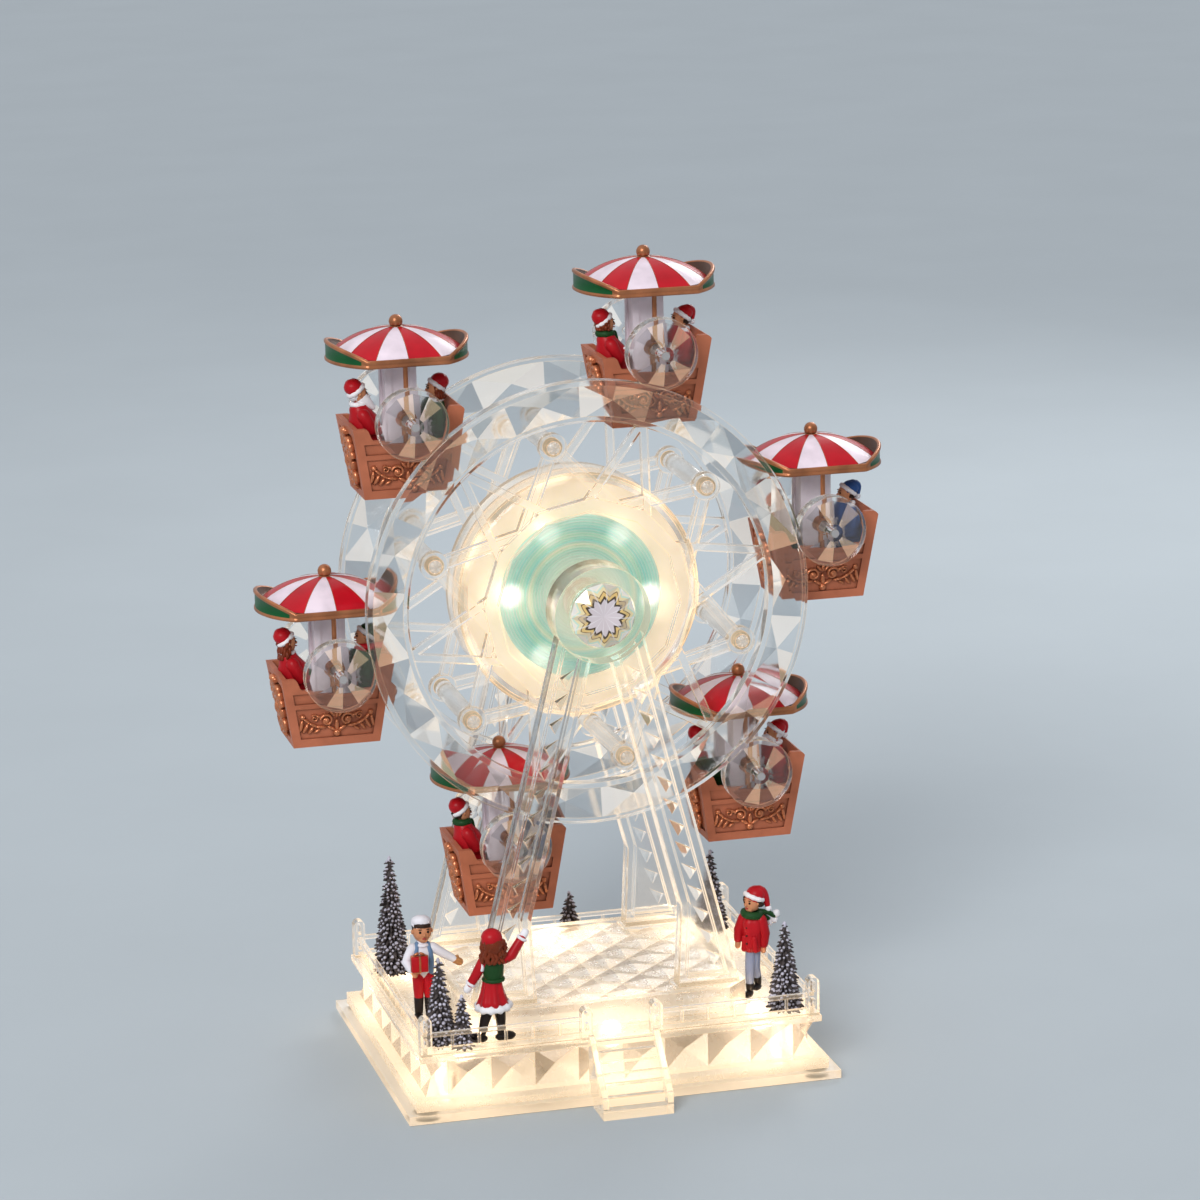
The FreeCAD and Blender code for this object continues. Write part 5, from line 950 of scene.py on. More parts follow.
def dress(coat, cap="red", **more):
    """Colours of a rider's coat and cap, and whatever else is special about the rider."""
    return {"coat": "coat_" + coat, "cap": "coat_" + cap, **more}


LOOKS = (
    (dress("green", legs="boot_black"),
     dress("blue", "blue", hat="tail", glove="glove_tan", legs="jeans_grey")),
    (dress("red", scarf="coat_green", hands=3.0, hair="hair_auburn", length=3.4),
     dress("red", hat="tail")),
    (dress("red", beard=True, hair="fur_white", glove="boot_black"),
     dress("green", hair="hair_auburn", length=5.0)),
    (dress("red", hair="hair_auburn", length=7.5, muff="coat_green"),
     dress("green", "green", scarf="coat_red", hat="tail")),
    (dress("red", scarf="coat_green"), dress("blue", length=4.0, hair="hair_auburn")),
    (dress("green", scarf="coat_red"),
     dress("red", beard=True, hair="fur_white", hat="tail", glove="boot_black")),
)


class FERRIS_OT_riders(bpy.types.Operator):
    """Seat two painted passengers in every gondola"""
    bl_idname = "ferris.riders"
    bl_label = "Make riders"

    def execute(self, context):
        for k in GONDOLAS:
            model = Model()
            for side, look in zip((-1, 1), LOOKS[k - 1]):
                rider_model(model, side, look)
            model.done("painted_riders_%d" % k, "gondola_%d" % k, "rider_paint",
                       ("gondola_%d_riders" % k,), pivot_of(k))
        return {"FINISHED"}


def feet_of(node):
    """Middle of the feet of a deck figure's solid."""
    solid = NODES[node]
    places = [solid.matrix_world @ vert.co for vert in solid.data.vertices]
    low = min(place.z for place in places)
    soles = [place for place in places if place.z < low + 1.5 * MM]
    xs, ys = [place.x for place in soles], [place.y for place in soles]
    return Vector(((min(xs) + max(xs)) / 2, (min(ys) + max(ys)) / 2, low))


def leg(model, cloth, boot, hip, knee, ankle, wide, boot_top, toe=(0, -1, 0), shoe=(1.6, 3.0, 1.2)):
    """Trouser leg down to a boot or a shoe with its toe."""
    hip, knee, ankle, toe = Vector(hip), Vector(knee), Vector(ankle), Vector(toe).normalized()
    shin = (knee - ankle).normalized()
    cuff = ankle + shin * boot_top
    model.sweep(cloth, ((hip, wide), (knee, wide * 0.82), (cuff, wide * 0.7)), sides=14)
    model.sweep(boot, ((cuff, wide * 0.76), (ankle, wide * 0.62)), sides=14)
    turn = math.degrees(math.atan2(toe.x, -toe.y))
    model.lump(boot, ankle + toe * shoe[1] * 0.4 - Vector((0, 0, 0.9)), shoe, turn=(0, 0, turn),
               sides=14)


def arm(model, cloth, shoulder, elbow, hand, glove, cuff=None, wide=1.9, broad=1.0):
    """Sleeve with a bent elbow and a hand or a mitten at its end."""
    shoulder, elbow, hand = Vector(shoulder), Vector(elbow), Vector(hand)
    model.sweep(cloth, ((shoulder, wide), (shoulder.lerp(elbow, 0.6), wide * 0.95),
                        (elbow, wide * 0.9), (hand, wide * 0.76)), sides=16)
    if cuff:
        model.ruff(cuff, hand, hand - elbow, wide * 0.72, 0.6, lumps=6, rough=0.1)
    along = (hand - elbow).normalized()
    model.sweep(glove, ((hand + along * 0.6, 1.2 * broad), (hand + along * 2.6, 1.15 * broad)),
                sides=12, flat=0.75)
    thumb = hand + along * 0.9 + Vector((0, 0, 0.8 * broad))
    model.sweep(glove, ((thumb, 0.55 * broad), (thumb + along * 0.9 + Vector((0, 0, 0.7)),
                                                0.45 * broad)), sides=8)


def boy_with_gift(model):
    """Boy in a vest with a tied box under one arm, the other arm held out."""
    for way in (-1, 1):
        leg(model, "coat_red", "boot_black", (way * 1.8, 0.2, 17.4), (way * 2.0, -0.4, 11.6),
            (way * 2.1, 0.2, 2.1), 2.6, 6.2, toe=(way * 0.35, -1, 0), shoe=(1.8, 3.2, 1.3))
    model.sweep("shirt_white", (((0, 0.2, 18.8), 3.2), ((0, 0.1, 23.0), 3.4), ((0, 0, 27.4), 3.9),
                                ((0, 0, 30.0), 2.6)), sides=20, flat=0.78)
    model.sweep("vest_slate", (((0, 1.1, 19.2), 3.2), ((0, 1.1, 24.0), 3.6), ((0, 1.0, 28.4), 3.6)),
                sides=18, flat=0.72)
    for way in (-1, 1):
        model.sweep("vest_slate", (((way * 2.8, -0.5, 19.0), 1.4), ((way * 3.0, -1.0, 24.0), 1.4),
                                   ((way * 2.6, -1.3, 28.0), 1.2), ((way * 2.1, -0.6, 30.6), 0.9)),
                    sides=12, flat=1.2)
    arm(model, "shirt_white", (-3.9, 0, 28.6), (-6.6, -0.6, 23.6), (-5.0, -3.4, 21.0), "skin",
        wide=2.2)
    arm(model, "shirt_white", (3.9, 0, 28.8), (8.2, -0.6, 26.0), (12.0, -1.4, 23.8), "glove_tan",
        wide=2.0, broad=1.35)
    model.slab("coat_red", (-5.4, -7.4, 21.0), (1.2, -3.2, 27.2), 0.5)
    model.slab("gold_paint", (-2.5, -7.6, 20.9), (-1.7, -3.0, 27.4), 0.2)
    model.slab("gold_paint", (-5.6, -5.7, 20.9), (1.4, -4.9, 27.4), 0.2)
    for way in (-1, 1):
        model.lump("gold_paint", (-2.1 + way * 1.2, -5.3, 28.0), (1.3, 0.7, 0.6),
                   turn=(0, way * 25, 0), sides=12)
    model.lump("skin", (-3.0, -4.8, 20.6), (2.0, 1.6, 0.9), sides=12)
    model.ruff("shirt_white", (0, -0.5, 30.4), (0, -0.15, 1), 1.8, 0.7, lumps=5, rough=0.1)
    model.sweep("skin", (((0, 0, 30.0), 1.6), ((0, 0, 32.4), 1.7)))
    look = Vector((0.1, -1, 0))
    face_parts(model, (0, -0.3, 35.7), 4.2, look)
    model.lump("hair_dark", (0, 0.25, 37.9), (3.9, 4.0, 2.2), turn=(-10, 0, 0), rough=0.14,
               sides=20)
    hair(model, (0, 0.6, 35.8), 4.0, look, "hair_dark", 1.0)
    model.lump("shirt_white", (-0.1, 0.9, 39.2), (4.0, 4.2, 2.8), turn=(-16, 6, 0), rough=0.06,
               sides=22)
    model.ruff("shirt_white", (-0.1, 0.6, 38.7), (0.05, -0.34, 1), 3.6, 0.5, lumps=5, rough=0.05)


def waving_girl(model):
    """Girl in a fur hemmed coat and vest, one arm up to wave."""
    leg(model, "boot_black", "boot_black", (-1.9, 0.2, 13.4), (-2.4, -0.2, 7.6), (-2.4, 0.4, 2.3),
        2.3, 3.0, toe=(-1, -0.3, 0), shoe=(2.3, 4.2, 1.9))
    leg(model, "boot_black", "boot_black", (1.9, 0.2, 13.4), (3.8, 0.6, 7.8), (5.2, 1.4, 2.4), 2.3,
        3.0, toe=(1, -0.35, 0), shoe=(2.3, 4.2, 1.9))
    model.turned("coat_red", (0.3, 0, 14.0), (0.02, 0, 1),
                 ((0.0, 6.2), (2.4, 5.2), (5.4, 4.2), (9.0, 3.5), (11.0, 3.2)),
                 sides=56, pleats=7, depth=0.08)
    model.ruff("fur_white", (0.3, 0, 13.6), (0.05, 0, 1), 5.8, 1.4, lumps=11, rough=0.28)
    model.sweep("coat_red", (((0, 0, 23.5), 3.2), ((0, 0, 28.5), 3.7), ((0, 0, 32.6), 2.7)),
                sides=18, flat=0.85)
    model.sweep("coat_green", (((0, 0, 25.0), 3.7), ((0, 0, 29.0), 4.1), ((0, 0, 31.6), 3.5)),
                sides=20, flat=0.95)
    model.ruff("coat_green", (0, 0, 24.2), (0, 0, 1), 3.6, 0.8, lumps=10, rough=0.08)
    model.sweep("fur_white", (((3.9, 1.0, 33.0), 1.1), ((4.4, 1.6, 28.6), 0.9)), sides=10)
    arm(model, "coat_red", (-3.8, 0.2, 32.0), (-7.0, 0.0, 33.0), (-11.0, -0.4, 39.4), "fur_white",
        "fur_white", wide=2.2, broad=1.3)
    arm(model, "coat_red", (3.8, 0.2, 31.0), (6.4, 0.4, 26.4), (8.6, 0.2, 22.8), "fur_white",
        "fur_white", wide=2.1, broad=1.3)
    model.sweep("skin", (((0, 0, 32.4), 1.5), ((0, 0, 34.6), 1.6)))
    face_parts(model, (0, -0.3, 37.8), 3.7, (0, -1, 0))
    hair(model, (0, 0.2, 37.8), 4.3, (0, -1, 0), "hair_auburn", 7.6)
    beret(model, (0.3, 1.0, 39.6), 3.3, "coat_red", (0.1, 0.62, 1))


def boy_with_scarf(model):
    """Boy walking in an open coat, with a scarf flying behind his shoulder."""
    leg(model, "jeans_grey", "boot_black", (-0.5, -0.4, 20.4), (-0.7, -1.6, 11.6),
        (-0.8, -1.4, 2.1), 2.2, 2.8, toe=(0, -1, 0), shoe=(1.7, 3.2, 1.4))
    leg(model, "jeans_grey", "boot_black", (0.8, 0.6, 20.4), (0.6, 0.9, 11.8), (0.6, 3.4, 4.0), 2.2,
        2.8, toe=(0, -1, -0.4), shoe=(1.6, 2.8, 1.3))
    model.turned("coat_red", (0, 0, 18.4), (0, 0, 1),
                 ((0.0, 3.5), (2.0, 3.7), (6.5, 3.9), (11.5, 4.3), (14.4, 2.8)),
                 sides=42, pleats=5, depth=0.06)
    for way in (-1, 1):
        model.sweep("coat_red", (((way * 2.4, -2.8, 19.4), 1.2), ((way * 2.0, -3.2, 24.0), 1.1)),
                    sides=10, flat=0.8)
    for z in (22.0, 25.2, 28.4):
        model.lump("boot_black", (-0.7, -4.2, z), (0.45, 0.3, 0.45), sides=8)
    arm(model, "coat_red", (-3.6, 0, 31.0), (-5.4, -0.8, 26.2), (-5.2, -2.0, 22.8), "skin",
        wide=2.2)
    arm(model, "coat_red", (3.6, 0, 31.0), (4.9, 0.6, 25.6), (4.5, 0.4, 21.2), "skin", wide=2.2)
    model.ruff("coat_green", (0, -0.2, 33.2), (0.1, 0, 1), 3.1, 1.6, lumps=5, rough=0.06)
    model.sweep("coat_green", (((2.2, 2.2, 33.6), 1.8), ((5.0, 3.6, 33.2), 1.8),
                               ((6.6, 4.4, 32.0), 1.6)), sides=12, flat=0.6)
    model.sweep("coat_green", (((2.0, 2.6, 32.4), 1.4), ((4.4, 4.0, 30.6), 1.3)), sides=12,
                flat=0.6)
    for spot, size in (((7.9, 5.0, 32.6), (1.5, 1.4, 1.6)), ((7.0, 5.0, 30.2), (1.5, 1.3, 1.7)),
                       ((5.2, 4.8, 28.8), (1.2, 1.1, 1.3))):
        model.lump("fur_white", spot, size, rough=0.3, sides=14)
    look = Vector((-0.35, -1, 0)).normalized()
    face_parts(model, (0, -0.3, 37.7), 3.6, look)
    hair(model, (0, 0.1, 38.0), 3.6, look, "hair_dark", 2.4)
    brimmed_cap(model, (0.1, 0.0, 38.3), 3.8, (0.3, 0.28, 1), (0.9, 0.6, -0.75))


class FERRIS_OT_deck_figures(bpy.types.Operator):
    """Stand three painted figures on the deck"""
    bl_idname = "ferris.deck_figures"
    bl_label = "Make deck figures"

    def execute(self, context):
        for node, sculpt, turn, tall in (
            ("boy_with_gift", boy_with_gift, -4.0, 43.4),
            ("waving_girl", waving_girl, 172.0, 44.2),
            ("boy_with_scarf", boy_with_scarf, -40.0, 46.0)):
            low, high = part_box(node)
            scale = (high.z - low.z) / MM / tall
            model = Model(Matrix.Rotation(math.radians(turn), 4, "Z") @ Matrix.Scale(scale, 4))
            sculpt(model)
            model.done("painted_" + node, "stand", "figure_paint", (node,), feet_of(node))
        return {"FINISHED"}


# Trees by Geometry Nodes

CONE_HEIGHT, CONE_RADIUS, STUMP = 0.93, 0.84, 0.03      # shares of a tree's solid


class Recipe:
    """A geometry tree that is built node by node."""

    def __init__(self, name, inputs):
        self.tree = bpy.data.node_groups.new(name, "GeometryNodeTree")
        sockets = self.tree.interface
        sockets.new_socket("Geometry", in_out="OUTPUT", socket_type="NodeSocketGeometry")
        for label, kind, value in inputs:
            socket = sockets.new_socket(label, in_out="INPUT", socket_type="NodeSocket" + kind)
            if value is not None:
                socket.default_value = value
        self.given = self.tree.nodes.new("NodeGroupInput").outputs

    def node(self, kind, inputs=None, **options):
        """Add a node and return its outputs."""
        return add_node(self.tree, kind, inputs, **options).outputs

    def maths(self, operation, first, second):
        return self.node("ShaderNodeMath", {0: first, 1: second}, operation=operation)[0]

    def painted(self, shape, finish_name):
        return self.node("GeometryNodeSetMaterial", {"Geometry": shape,
                                                     "Material": finish(finish_name)})[0]

    def joined(self, shapes):
        whole = add_node(self.tree, "GeometryNodeJoinGeometry")
        for shape in shapes:
            self.tree.links.new(shape, whole.inputs[0])
        return whole.outputs[0]

    def result(self, shape):
        """Give out a shape and return the finished tree."""
        add_node(self.tree, "NodeGroupOutput", {0: shape})
        return self.tree


def tree_group():
    """Fir: dark boughs with a clump of snow on each, scattered over a cone, and a white tip."""
    fir = Recipe("snowy_fir", (("Height", "Float", 0.05), ("Radius", "Float", 0.007),
                               ("Boughs", "Int", 300), ("Droop", "Float", 0.3),
                               ("Seed", "Int", 1)))
    height, radius, seed = (fir.given[name] for name in ("Height", "Radius", "Seed"))
    cone = fir.node("GeometryNodeMeshCone", {
        "Vertices": 24, "Side Segments": 12, "Radius Top": 0.0006, "Radius Bottom": radius,
        "Depth": height})["Mesh"]
    core = fir.node("GeometryNodeTransform", {"Geometry": cone, "Scale": (0.8, 0.8, 0.98)})[0]
    girth = fir.maths("MULTIPLY", fir.maths("MULTIPLY", height, radius), math.pi)
    scatter = fir.node("GeometryNodeDistributePointsOnFaces", {
        "Mesh": cone, "Seed": seed, "Distance Min": 0.0013,
        "Density Max": fir.maths("DIVIDE", fir.given["Boughs"], girth)},
                       distribute_method="POISSON")["Points"]
    apart = fir.node("ShaderNodeSeparateXYZ", {0: fir.node("GeometryNodeInputPosition")[0]})
    outward = fir.node("ShaderNodeCombineXYZ", {"X": apart["X"], "Y": apart["Y"]})
    unit = fir.node("ShaderNodeVectorMath", {0: outward[0]}, operation="NORMALIZE")
    drop = fir.node("ShaderNodeCombineXYZ", {"Z": fir.given["Droop"]})
    hang = fir.node("ShaderNodeVectorMath", {0: unit[0], 1: drop[0]}, operation="ADD")
    aim = fir.node("FunctionNodeAlignRotationToVector", {"Vector": hang[0]}, axis="Z")
    slim = fir.node("ShaderNodeMapRange", {
        "Value": fir.maths("DIVIDE", apart["Z"], height), "To Min": 1.1, "To Max": 0.7})
    chance = fir.node("FunctionNodeRandomValue", {2: 0.75, 3: 1.35, "Seed": seed},
                      data_type="FLOAT")
    size = fir.maths("MULTIPLY", slim[0], chance[1])
    needles = fir.node("GeometryNodeMeshCone", {
        "Vertices": 6, "Radius Top": 0.0002, "Radius Bottom": 0.00105, "Depth": 0.0028})
    bough = fir.node("GeometryNodeTransform", {
        "Geometry": needles["Mesh"], "Translation": (0.0, 0.0, -0.0009)})[0]
    clump = fir.node("GeometryNodeMeshUVSphere", {"Segments": 7, "Rings": 5, "Radius": 0.00066})
    frosted = fir.node("FunctionNodeRandomValue", {6: 0.86, "Seed": seed},
                       data_type="BOOLEAN")[3]
    snow = fir.node("GeometryNodeTransform", {
        "Geometry": clump["Mesh"], "Translation": (0.0, 0.0, 0.0004),
        "Scale": (1.0, 0.9, 1.1)})[0]
    raised = fir.node("GeometryNodeSetPosition", {
        "Geometry": scatter, "Offset": (0.0, 0.0, 0.00055)})[0]
    looks = []
    for points, shape, finish_name, chosen in ((scatter, bough, "needle_green", True),
                                               (raised, snow, "snow", frosted)):
        placed = fir.node("GeometryNodeInstanceOnPoints", {
            "Points": points, "Instance": shape, "Rotation": aim["Rotation"], "Scale": size,
            "Selection": chosen})
        solid = fir.node("GeometryNodeRealizeInstances", {0: placed["Instances"]})[0]
        looks.append(fir.painted(solid, finish_name))
    top = fir.node("ShaderNodeCombineXYZ", {"Z": height})[0]
    ball = fir.node("GeometryNodeMeshUVSphere", {"Segments": 10, "Rings": 8, "Radius": 0.0011})
    tip = fir.node("GeometryNodeTransform", {
        "Geometry": ball["Mesh"], "Translation": top, "Scale": (0.7, 0.7, 1.3)})[0]
    looks += [fir.painted(core, "needle_green"), fir.painted(tip, "snow")]
    return fir.result(fir.joined(looks))


def grown(group, values, start=None):
    """Evaluate a geometry tree with the given inputs and return a plain mesh."""
    holder = bpy.data.objects.new("holder", start or bpy.data.meshes.new("holder"))
    bpy.context.scene.collection.objects.link(holder)
    modifier = holder.modifiers.new("form", "NODES")
    modifier.node_group = group
    sockets = {item.name: item.identifier for item in group.interface.items_tree
               if item.in_out == "INPUT"}
    for name, value in values.items():
        modifier[sockets[name]] = value
    bpy.context.view_layer.update()
    depsgraph = bpy.context.evaluated_depsgraph_get()
    mesh = bpy.data.meshes.new_from_object(holder.evaluated_get(depsgraph), depsgraph=depsgraph)
    bpy.data.objects.remove(holder)
    return mesh


def joined_mesh(name, rows):
    """Join meshes, each moved to its place, keeping their materials."""
    whole = bmesh.new()
    materials = []
    for mesh, place in rows:
        part = bmesh.new()
        part.from_mesh(mesh)
        part.transform(place)
        local = list(mesh.materials)
        for material in local:
            if material not in materials:
                materials.append(material)
        for face in part.faces:
            face.material_index = materials.index(local[face.material_index])
            face.smooth = True
        moved = bpy.data.meshes.new("part")
        part.to_mesh(moved)
        part.free()
        whole.from_mesh(moved)
    bmesh.ops.recalc_face_normals(whole, faces=whole.faces)
    result = bpy.data.meshes.new(name)
    whole.to_mesh(result)
    whole.free()
    for material in materials:
        result.materials.append(material)
    return result


def tree_places():
    """Foot, height and radius of each CAD tree."""
    places = []
    for low, high in shells_of("snowy_trees"):
        foot = Vector(((low.x + high.x) / 2, (low.y + high.y) / 2, low.z))
        places.append((foot, high.z - low.z, (high.x - low.x) / 2))
    return sorted(places, key=lambda row: -round(row[1], 4))


class FERRIS_OT_trees(bpy.types.Operator):
    """Grow the snowy trees on the deck"""
    bl_idname = "ferris.trees"
    bl_label = "Make trees"

    def execute(self, context):
        given = settings().trees
        group = tree_group()
        rows = []
        places = tree_places()
        if len(places) != TREES:
            raise RuntimeError("expected %d trees, found %d" % (TREES, len(places)))
        tallest = places[0][1]
        for n, (foot, height, radius) in enumerate(places):
            share = (height * radius) / (tallest * places[0][2])
            mesh = grown(group, {"Height": height * CONE_HEIGHT, "Radius": radius * CONE_RADIUS,
                                 "Boughs": int(given.boughs * share ** 0.8),
                                 "Droop": -math.tan(math.radians(given.droop)),
                                 "Seed": given.seed + n})
            rows.append((mesh, Matrix.Translation(foot + Vector((0, 0, height * STUMP)))))
        seat("flocked_trees", joined_mesh("flocked_trees", rows), "stand",
             ("snowy_trees",))
        return {"FINISHED"}


# Scrolls on the tubs by Geometry Nodes


def scroll_group():
    """Curls, rings and leaves of raised ornament, set on points by kind, turn and size."""
    scrolls = Recipe("tub_scrolls", (("Places", "Geometry", None), ("Turns", "Float", 1.35),
                                     ("Curl", "Float", 0.0025), ("Thickness", "Float", 0.00052)))
    given = scrolls.given
    spiral = scrolls.node("GeometryNodeCurveSpiral", {
        "Resolution": 18, "Rotations": given["Turns"], "Start Radius": 0.0005,
        "End Radius": given["Curl"], "Height": 0.0})
    loop = scrolls.node("GeometryNodeCurvePrimitiveCircle", {
        "Resolution": 24, "Radius": given["Curl"]})
    profile = scrolls.node("GeometryNodeCurvePrimitiveCircle", {
        "Resolution": 6, "Radius": given["Thickness"]})
    leaf = scrolls.node("GeometryNodeMeshUVSphere", {"Segments": 10, "Rings": 6, "Radius": 0.001})
    shapes = [scrolls.node("GeometryNodeCurveToMesh", {
        "Curve": curve[0], "Profile Curve": profile[0],
        "Fill Caps": True})[0] for curve in (spiral, loop)] + [leaf["Mesh"]]

    def stored(name, data_type):
        return scrolls.node("GeometryNodeInputNamedAttribute", {"Name": name},
                            data_type=data_type)["Attribute"]

    laid = []
    for number, shape in enumerate(shapes):
        chosen = scrolls.node("FunctionNodeCompare", {
            0: stored("kind", "FLOAT"), 1: float(number), "Epsilon": 0.1},
                              data_type="FLOAT", operation="EQUAL")[0]
        laid.append(scrolls.node("GeometryNodeInstanceOnPoints", {
            "Points": given["Places"], "Selection": chosen, "Instance": shape,
            "Rotation": stored("turn", "FLOAT_VECTOR"),
            "Scale": stored("size", "FLOAT_VECTOR")})["Instances"])
    solid = scrolls.node("GeometryNodeRealizeInstances", {0: scrolls.joined(laid)})[0]
    return scrolls.result(scrolls.painted(solid, "copper_rub"))


CURL, RING, LEAF = 0.0, 1.0, 2.0
# Ornament of a panel's right half: kind, across, up, turn in degrees, size; mirrored to the left
SIDE_PANEL = ((LEAF, 4.1, 1.0, 0, (1.3, 1.3, 1.5)), (CURL, 4.1, 1.0, 144, (1.05, 1.05, 2.2)),
              (LEAF, 6.5, -1.6, 8, (2.5, 0.65, 1.1)), (LEAF, 9.5, -0.6, 28, (2.3, 0.65, 1.1)),
              (LEAF, 12.0, 1.2, 42, (2.0, 0.65, 1.1)), (LEAF, 13.7, 3.0, 0, (1.15, 1.15, 1.2)),
              (CURL, 9.0, 2.2, 174, (0.6, 0.6, 1.8)), (LEAF, 7.0, 2.6, 28, (1.6, 0.6, 0.9)),
              (LEAF, 10.5, -2.7, -52, (2.0, 0.7, 1.0)), (LEAF, 12.6, -1.7, -60, (2.5, 0.75, 1.1)),
              (LEAF, 14.3, -0.6, -78, (2.7, 0.8, 1.1)), (LEAF, 1.5, 3.4, 48, (1.7, 0.65, 0.9)),
              (LEAF, 2.0, -2.6, 30, (2.2, 0.7, 0.9)), (LEAF, 8.0, -3.2, -30, (1.6, 0.6, 0.8)))
SIDE_MIDDLE = ((LEAF, 0, -1.2, 90, (2.6, 1.0, 1.1)), (LEAF, 0, -4.6, 0, (1.5, 1.5, 1.3)),
               (LEAF, 0, 3.4, 90, (1.5, 0.75, 1.0)))
END_PANEL = ((CURL, 3.6, 7.4, 210, (1.5, 1.5, 3.0)), (CURL, 3.2, -7.0, 30, (1.3, 1.3, 2.8)),
             (CURL, 5.6, 2.0, 100, (0.9, 0.9, 2.4)), (LEAF, 5.4, -2.6, 70, (2.6, 0.9, 1.6)),
             (LEAF, 2.4, 10.8, 40, (2.0, 1.0, 1.7)), (LEAF, 6.9, 5.2, 100, (2.0, 0.8, 1.4)),
             (LEAF, 2.6, -10.8, 120, (1.9, 0.8, 1.4)))
END_MIDDLE = ((RING, 0, 0, 0, (1.25, 1.6, 2.8)), (LEAF, 0, 0, 0, (1.5, 2.2, 2.2)),
              (LEAF, 0, 11.0, 90, (1.7, 1.2, 1.8)), (LEAF, 0, -9.8, 90, (1.9, 0.9, 1.5)))
# Half sizes of a tub in millimetres, the last one in its sunk side panel
FLOOR_LENGTH, FLOOR_WIDTH, BRIM_WIDTH, SUNK_WIDTH = 17.4, 14.0, 17.5, 13.6
SIDE_RISE, END_RISE = 9.7, 14.6     # from a tub's floor to the middle of its panels


def scroll_places(k):
    """Points for the ornament on a tub's four walls, with kind, turn and size."""
    low, high = local_box(k, "tub")
    floor = low.z
    lean_x = math.atan2(high.x - FLOOR_LENGTH, -floor)
    lean_y = math.atan2(BRIM_WIDTH - FLOOR_WIDTH, -floor)
    places = bpy.data.meshes.new("places")
    rows = []
    for way in (-1, 1):
        for half, middle, height, out, lean, along in (
            (SIDE_PANEL, SIDE_MIDDLE, floor + SIDE_RISE, SUNK_WIDTH, lean_y, Vector((-way, 0, 0))),
            (END_PANEL, END_MIDDLE, floor + END_RISE, FLOOR_LENGTH, lean_x, Vector((0, way, 0)))):
            level = Vector((0, way, 0)) if along.x else Vector((way, 0, 0))
            up = Vector((0, 0, math.cos(lean))) + level * math.sin(lean)
            normal = along.cross(up)
            centre = level * (out + (height - floor) * math.tan(lean)) + Vector((0, 0, height))
            frame_of = Matrix((along, up, normal)).transposed()
            mirrored = [(kind, -x, y, 180 - turn, size) for kind, x, y, turn, size in half]
            for mirror, group in ((1, half + middle), (-1, mirrored)):
                for kind, x, y, turn, size in group:
                    spin = frame_of @ Matrix.Rotation(math.radians(turn), 3, "Z")
                    flip = (size[0], size[1] * (mirror if kind == CURL else 1), size[2])
                    rows.append((centre + along * x + up * y, spin.to_euler(), flip, kind))
    places.from_pydata([row[0] * MM for row in rows], [], [])
    for name, kind, values in (("turn", "FLOAT_VECTOR", [c for row in rows for c in row[1]]),
                               ("size", "FLOAT_VECTOR", [c for row in rows for c in row[2]]),
                               ("kind", "FLOAT", [row[3] for row in rows])):
        stored = places.attributes.new(name, kind, "POINT")
        stored.data.foreach_set("vector" if kind == "FLOAT_VECTOR" else "value", values)
    return places


class FERRIS_OT_scrolls(bpy.types.Operator):
    """Lay raised scrolls on the panels of every tub"""
    bl_idname = "ferris.scrolls"
    bl_label = "Make tub scrolls"

    def execute(self, context):
        group = scroll_group()
        for k in GONDOLAS:
            mesh = grown(group, {}, scroll_places(k))
            name = "tub_scrolls_%d" % k
            seat(name, joined_mesh(name, [(mesh, Matrix.Translation(pivot_of(k)))]),
                 "gondola_%d" % k)
        return {"FINISHED"}


